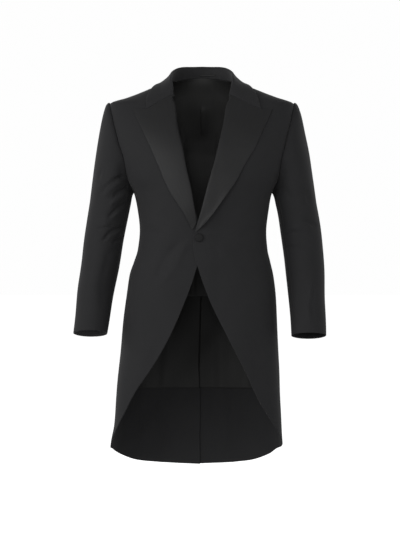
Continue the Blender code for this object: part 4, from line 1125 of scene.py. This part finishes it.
for name in SIDES:
    skirt_cells = (CELLS["shoulder"] + CELLS["neck_front"] + CELLS["arm_under"]) * DETAIL
    strips = [("skirt_" + name, np.arange(skirt_cells - 3.0 * DETAIL, skirt_cells)),
              ("back_" + name, np.append(np.arange(0.0, 8.7 * DETAIL), TAIL_LINING_EDGES))]
    points, facing = lining_grid(strips, *TAIL_LINING_HEIGHTS, 70)
    parted = smooth_step(-points[:, -1:, 2], *TAIL_LINING_PARTS)
    edge = points[:, -1] + parted * (points[:, -2] - points[:, -1])
    points = np.concatenate([points[:, :-2], edge[:, None]], axis=1)
    facing = facing[:, :-1]
    points = drawn_in(points, [LINING_DRAWN_IN, 0.0, 0.0, 0.0])
    points = points - (WOOL_WALL + LINING_GAP) * facing
    piece = cloth("lining_tail_" + name, points, facing, LINING_WALL, [TAIL_LINING],
                  ("edge", "edge", "edge", "flat"), (0, 0.0005, 0, 0))
    declared(piece, "lining_tail_" + name)


# Hanger loop
# A short tape across the inside of the stand, stitched down at both ends.
LOOP_SPAN = (-0.0060, 0.0350)
LOOP_HEIGHT = 0.0540
LOOP_WIDTH = 0.0042
LOOP_WALL = 0.0009
# How far the loop stands off the collar's stand: at its ends, and how much more in its middle
LOOP_STANDS_OFF = (0.0004, 0.0012)
across = np.linspace(*LOOP_SPAN, 40)
inner = stand[:, 3][::-1]
depth = np.interp(across, inner[:, 0], inner[:, 1])
share = np.linspace(0.0, 1.0, len(across))
stand_off = LOOP_STANDS_OFF[0] + LOOP_STANDS_OFF[1] * np.sin(np.pi * share) ** 0.5
heights = LOOP_HEIGHT + LOOP_WIDTH * np.linspace(0.5, -0.5, 5)[:, None]
points = np.stack(np.broadcast_arrays(across, depth - stand_off - LOOP_WALL, heights), -1)
facing = np.zeros_like(points) + np.array([0.0, -1.0, 0.0])
loop = cloth("hanger_loop", points, facing, LOOP_WALL, [FACING], ("edge",) * 4, (0.0004,) * 4)
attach(loop, "root")
declared(stand_piece, "collar_stand")


# Buttons
# Domed buttons covered in the facing's silk: one closes the front, two mark the back waist, and
# four stand at each cuff.
BUTTON_SIDES = 48
# Radius and thickness, then places as an angle and a height
FRONT_BUTTON = (0.0109, 0.0042)
FRONT_BUTTON_PLACE = (-3.3, -0.386)
BACK_BUTTON_PLACE = (166, -0.392)
CUFF_BUTTON = (0.0075, 0.0032)
CUFF_BUTTON_PITCH = 0.0185
CUFF_BUTTON_ABOVE_HEM = 0.022
CUFF_BUTTON_COUNT = 4
CUFF_BUTTON_COLUMN = 14.5
CUFF_BUTTON_STANDOFF = 0.0008
BUTTON_SILK = woven_material(
    "button silk", SILK, {"Dark": (0.0090, 0.0090, 0.0094), "Light": (0.0200, 0.0200, 0.0208),
                          "Ribs per metre": 1500.0, "Roughness": 0.60},
    (0.25, 0.00012), Specular_IOR_Level=0.20)
# Outline of a button from its middle underneath, over the rim, to its middle on top: shares
BUTTON_OUTLINE = np.array([
    (0.0, 0.0), (0.55, 0.0), (0.84, 0.04), (0.96, 0.16), (1.0, 0.38), (0.985, 0.60), (0.94, 0.78),
    (0.87, 0.90), (0.76, 0.965), (0.55, 0.99), (0.28, 1.0), (0.0, 1.0),
])


def button(name, centre, normal, standoff, radius, thickness):
    """Outline turned round the button's axis, the axis along the cloth's normal."""
    first = unit(np.cross(normal, np.array([0.0, 0.0, 1.0])))
    second = np.cross(normal, first)
    turn = np.linspace(0.0, 2 * np.pi, BUTTON_SIDES, endpoint=False)
    rings = BUTTON_OUTLINE[1:-1]
    spokes = np.cos(turn)[:, None] * first + np.sin(turn)[:, None] * second
    points = centre + standoff * normal + (radius * rings[:, 0])[:, None, None] * spokes[None]
    points = points + (thickness * rings[:, 1])[:, None, None] * normal
    place = np.arange(len(rings) * BUTTON_SIDES).reshape(len(rings), BUTTON_SIDES)
    after = np.roll(place, -1, axis=1)
    around = np.stack([place[:-1], after[:-1], after[1:], place[1:]], -1).reshape(-1, 4).tolist()
    under = place.size
    below = np.stack([after[0], place[0], np.full(BUTTON_SIDES, under)], -1).tolist()
    above = np.stack([place[-1], after[-1], np.full(BUTTON_SIDES, under + 1)], -1).tolist()
    ends = np.array([centre + standoff * normal, centre + (standoff + thickness) * normal])
    vertices = np.concatenate([points.reshape(-1, 3), ends])
    mesh = bpy.data.meshes.new(name + "_cover")
    mesh.from_pydata(vertices.tolist(), [], around + below + above)
    flat = np.stack([(vertices - centre) @ first, (vertices - centre) @ second], -1)
    corners = np.zeros(len(mesh.loops), int)
    mesh.loops.foreach_get("vertex_index", corners)
    for layer_name, values in (("cloth", flat), ("edge", np.full_like(flat, NO_STITCHES[0]))):
        layer = mesh.uv_layers.new(name=layer_name)
        layer.data.foreach_set("uv", values[corners].astype(np.float32).ravel())
    mesh.materials.append(BUTTON_SILK)
    mesh.polygons.foreach_set("use_smooth", np.ones(len(mesh.polygons), bool))
    made = bpy.data.objects.new(name + "_cover", mesh)
    bpy.context.collection.objects.link(made)
    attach(made, "root")
    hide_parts(name)


for name, side, place, standoff in (("button_front", 1.0, FRONT_BUTTON_PLACE, 0.0005),
                                    ("button_back_left", 1.0, BACK_BUTTON_PLACE, 0.0007),
                                    ("button_back_right", -1.0, BACK_BUTTON_PLACE, 0.0007)):
    angle, height = np.array(place)
    normal = body_normal(angle, height, side)
    centre = body_point(angle, height, side)
    raised = front_lift(centre, side) + creases(centre, -normal[1], BODY_CREASES)
    raised = raised + unevenness(centre)
    button(name, centre + raised * normal, normal, standoff, *FRONT_BUTTON)

for name, side in SIDES.items():
    grid, normals = SLEEVES[name]
    column = CUFF_BUTTON_COLUMN * SLEEVE_DETAIL
    line, facing = [between(one, np.arange(len(grid)), column)[::-1].T for one in (grid, normals)]
    walked = np.r_[0.0, np.cumsum(np.linalg.norm(np.diff(line, axis=1), axis=0))]
    for number in range(CUFF_BUTTON_COUNT):
        at = CUFF_BUTTON_ABOVE_HEM + number * CUFF_BUTTON_PITCH
        centre = np.array([np.interp(at, walked, axis) for axis in line])
        normal = unit(np.array([np.interp(at, walked, axis) for axis in facing]))
        button("cuff_button_%s_%d" % (name, number + 1), centre, normal, CUFF_BUTTON_STANDOFF,
               *CUFF_BUTTON)


# Room
# A pale floor and a white room, soft light mostly from the left in front, and a camera at the
# height of the coat's middle. The room looks whiter to the camera than it shines on the coat.
FLOOR_HEIGHT = -1.30
FLOOR_REACH = 40.0
FLOOR_SHADES = ((0.80, 0.80, 0.80), (0.84, 0.84, 0.84))
FLOOR_GLOW = 0.86
# How brightly the room shines on the coat, and how much brighter the camera sees it
ROOM_GLOW = (0.22, 0.77)
CAMERA_PLACE = (-0.0053, -4.0, -0.46)
# Width of the view at the coat, and of the camera's sensor in mm
VIEW_WIDTH = 1.06
SENSOR_WIDTH = 36.0
# place, size and power of each light; all face the coat's middle
LIGHTS_FACE = (0.0, 0.0, -0.40)
LIGHTS = [
    ((-1.8, -3.3, 0.7), 1.2, 24.0),
    ((-3.2, -1.6, 0.1), 2.0, 39.0),
    ((1.8, -3.2, 0.0), 1.6, 14.5),
    ((-0.2, -3.9, -0.1), 0.8, 9.5),
    ((3.0, -0.6, -0.6), 1.6, 10.0),
    ((-1.6, -2.6, -1.1), 0.3, 5.0),
    ((2.2, 2.4, 1.6), 1.8, 22.0),
    ((-2.2, 2.4, 1.6), 1.8, 22.0),
]
# A small lamp in the wearer's right cuff, for the light that reaches its inside
CUFF_LAMP_PLACE = (-0.292, -0.082, -0.603)
CUFF_LAMP_FACES = (-0.29, 0.0, -0.65)
CUFF_LAMP_POWER = 0.060
CUFF_LAMP_RADIUS = 0.008

floor_material = bpy.data.materials.new("pale floor")
floor_material.use_nodes = True
floor_tree = floor_material.node_tree
floor_shader = floor_tree.nodes["Principled BSDF"]
floor_shader.inputs["Roughness"].default_value = 0.9
floor_shader.inputs["Specular IOR Level"].default_value = 0.0
floor_shader.inputs["Emission Color"].default_value = (1.0, 1.0, 1.0, 1.0)
floor_shader.inputs["Emission Strength"].default_value = FLOOR_GLOW
floor_place = floor_tree.nodes.new("ShaderNodeTexCoord").outputs["Object"]
floor_shade = mixed(floor_tree, noise(floor_tree, floor_place, 3.0), *FLOOR_SHADES)
floor_tree.links.new(floor_shade, floor_shader.inputs["Base Color"])
floor_mesh = bpy.data.meshes.new("floor")
floor_corners = [(across * FLOOR_REACH, along * FLOOR_REACH, FLOOR_HEIGHT)
                 for across, along in ((-1, -1), (1, -1), (1, 1), (-1, 1))]
floor_mesh.from_pydata(floor_corners, [], [(0, 1, 2, 3)])
floor_mesh.materials.append(floor_material)
floor = bpy.data.objects.new("floor", floor_mesh)
bpy.context.collection.objects.link(floor)
floor.visible_diffuse = False
floor.visible_glossy = False


def place_light(name, kind, spot, target, power):
    """Lamp at a spot, turned towards its target, and its data."""
    lamp = bpy.data.lights.new(name, kind)
    lamp.energy = power
    light = bpy.data.objects.new(name, lamp)
    bpy.context.collection.objects.link(light)
    light.location = spot
    way = np.array(target) - np.array(spot)
    tilt = np.arctan2(way[2], np.hypot(way[0], way[1]))
    light.rotation_euler = (np.pi / 2 + tilt, 0.0, np.arctan2(-way[0], way[1]))
    return lamp


for number, (spot, size, power) in enumerate(LIGHTS):
    place_light("light_%d" % number, "AREA", spot, LIGHTS_FACE, power).size = size
cuff_lamp = place_light("cuff_lamp", "POINT", CUFF_LAMP_PLACE, CUFF_LAMP_FACES, CUFF_LAMP_POWER)
cuff_lamp.shadow_soft_size = CUFF_LAMP_RADIUS

world = bpy.data.worlds.new("soft room")
bpy.context.scene.world = world
world.use_nodes = True
world_tree = world.node_tree
glow = world_tree.nodes["Background"].inputs
glow["Color"].default_value = (1.0, 1.0, 1.0, 1.0)
seen = world_tree.nodes.new("ShaderNodeLightPath").outputs["Is Camera Ray"]
world_tree.links.new(math_node(world_tree, "MULTIPLY_ADD", seen, ROOM_GLOW[1], ROOM_GLOW[0]),
                     glow["Strength"])

camera_data = bpy.data.cameras.new("camera")
camera_data.sensor_fit = "HORIZONTAL"
camera_data.sensor_width = SENSOR_WIDTH
camera_data.lens = SENSOR_WIDTH * -CAMERA_PLACE[1] / VIEW_WIDTH
camera = bpy.data.objects.new("camera", camera_data)
bpy.context.collection.objects.link(camera)
camera.location = CAMERA_PLACE
camera.rotation_euler = (np.pi / 2, 0.0, 0.0)
bpy.context.scene.camera = camera
bpy.context.scene.view_settings.view_transform = "Standard"
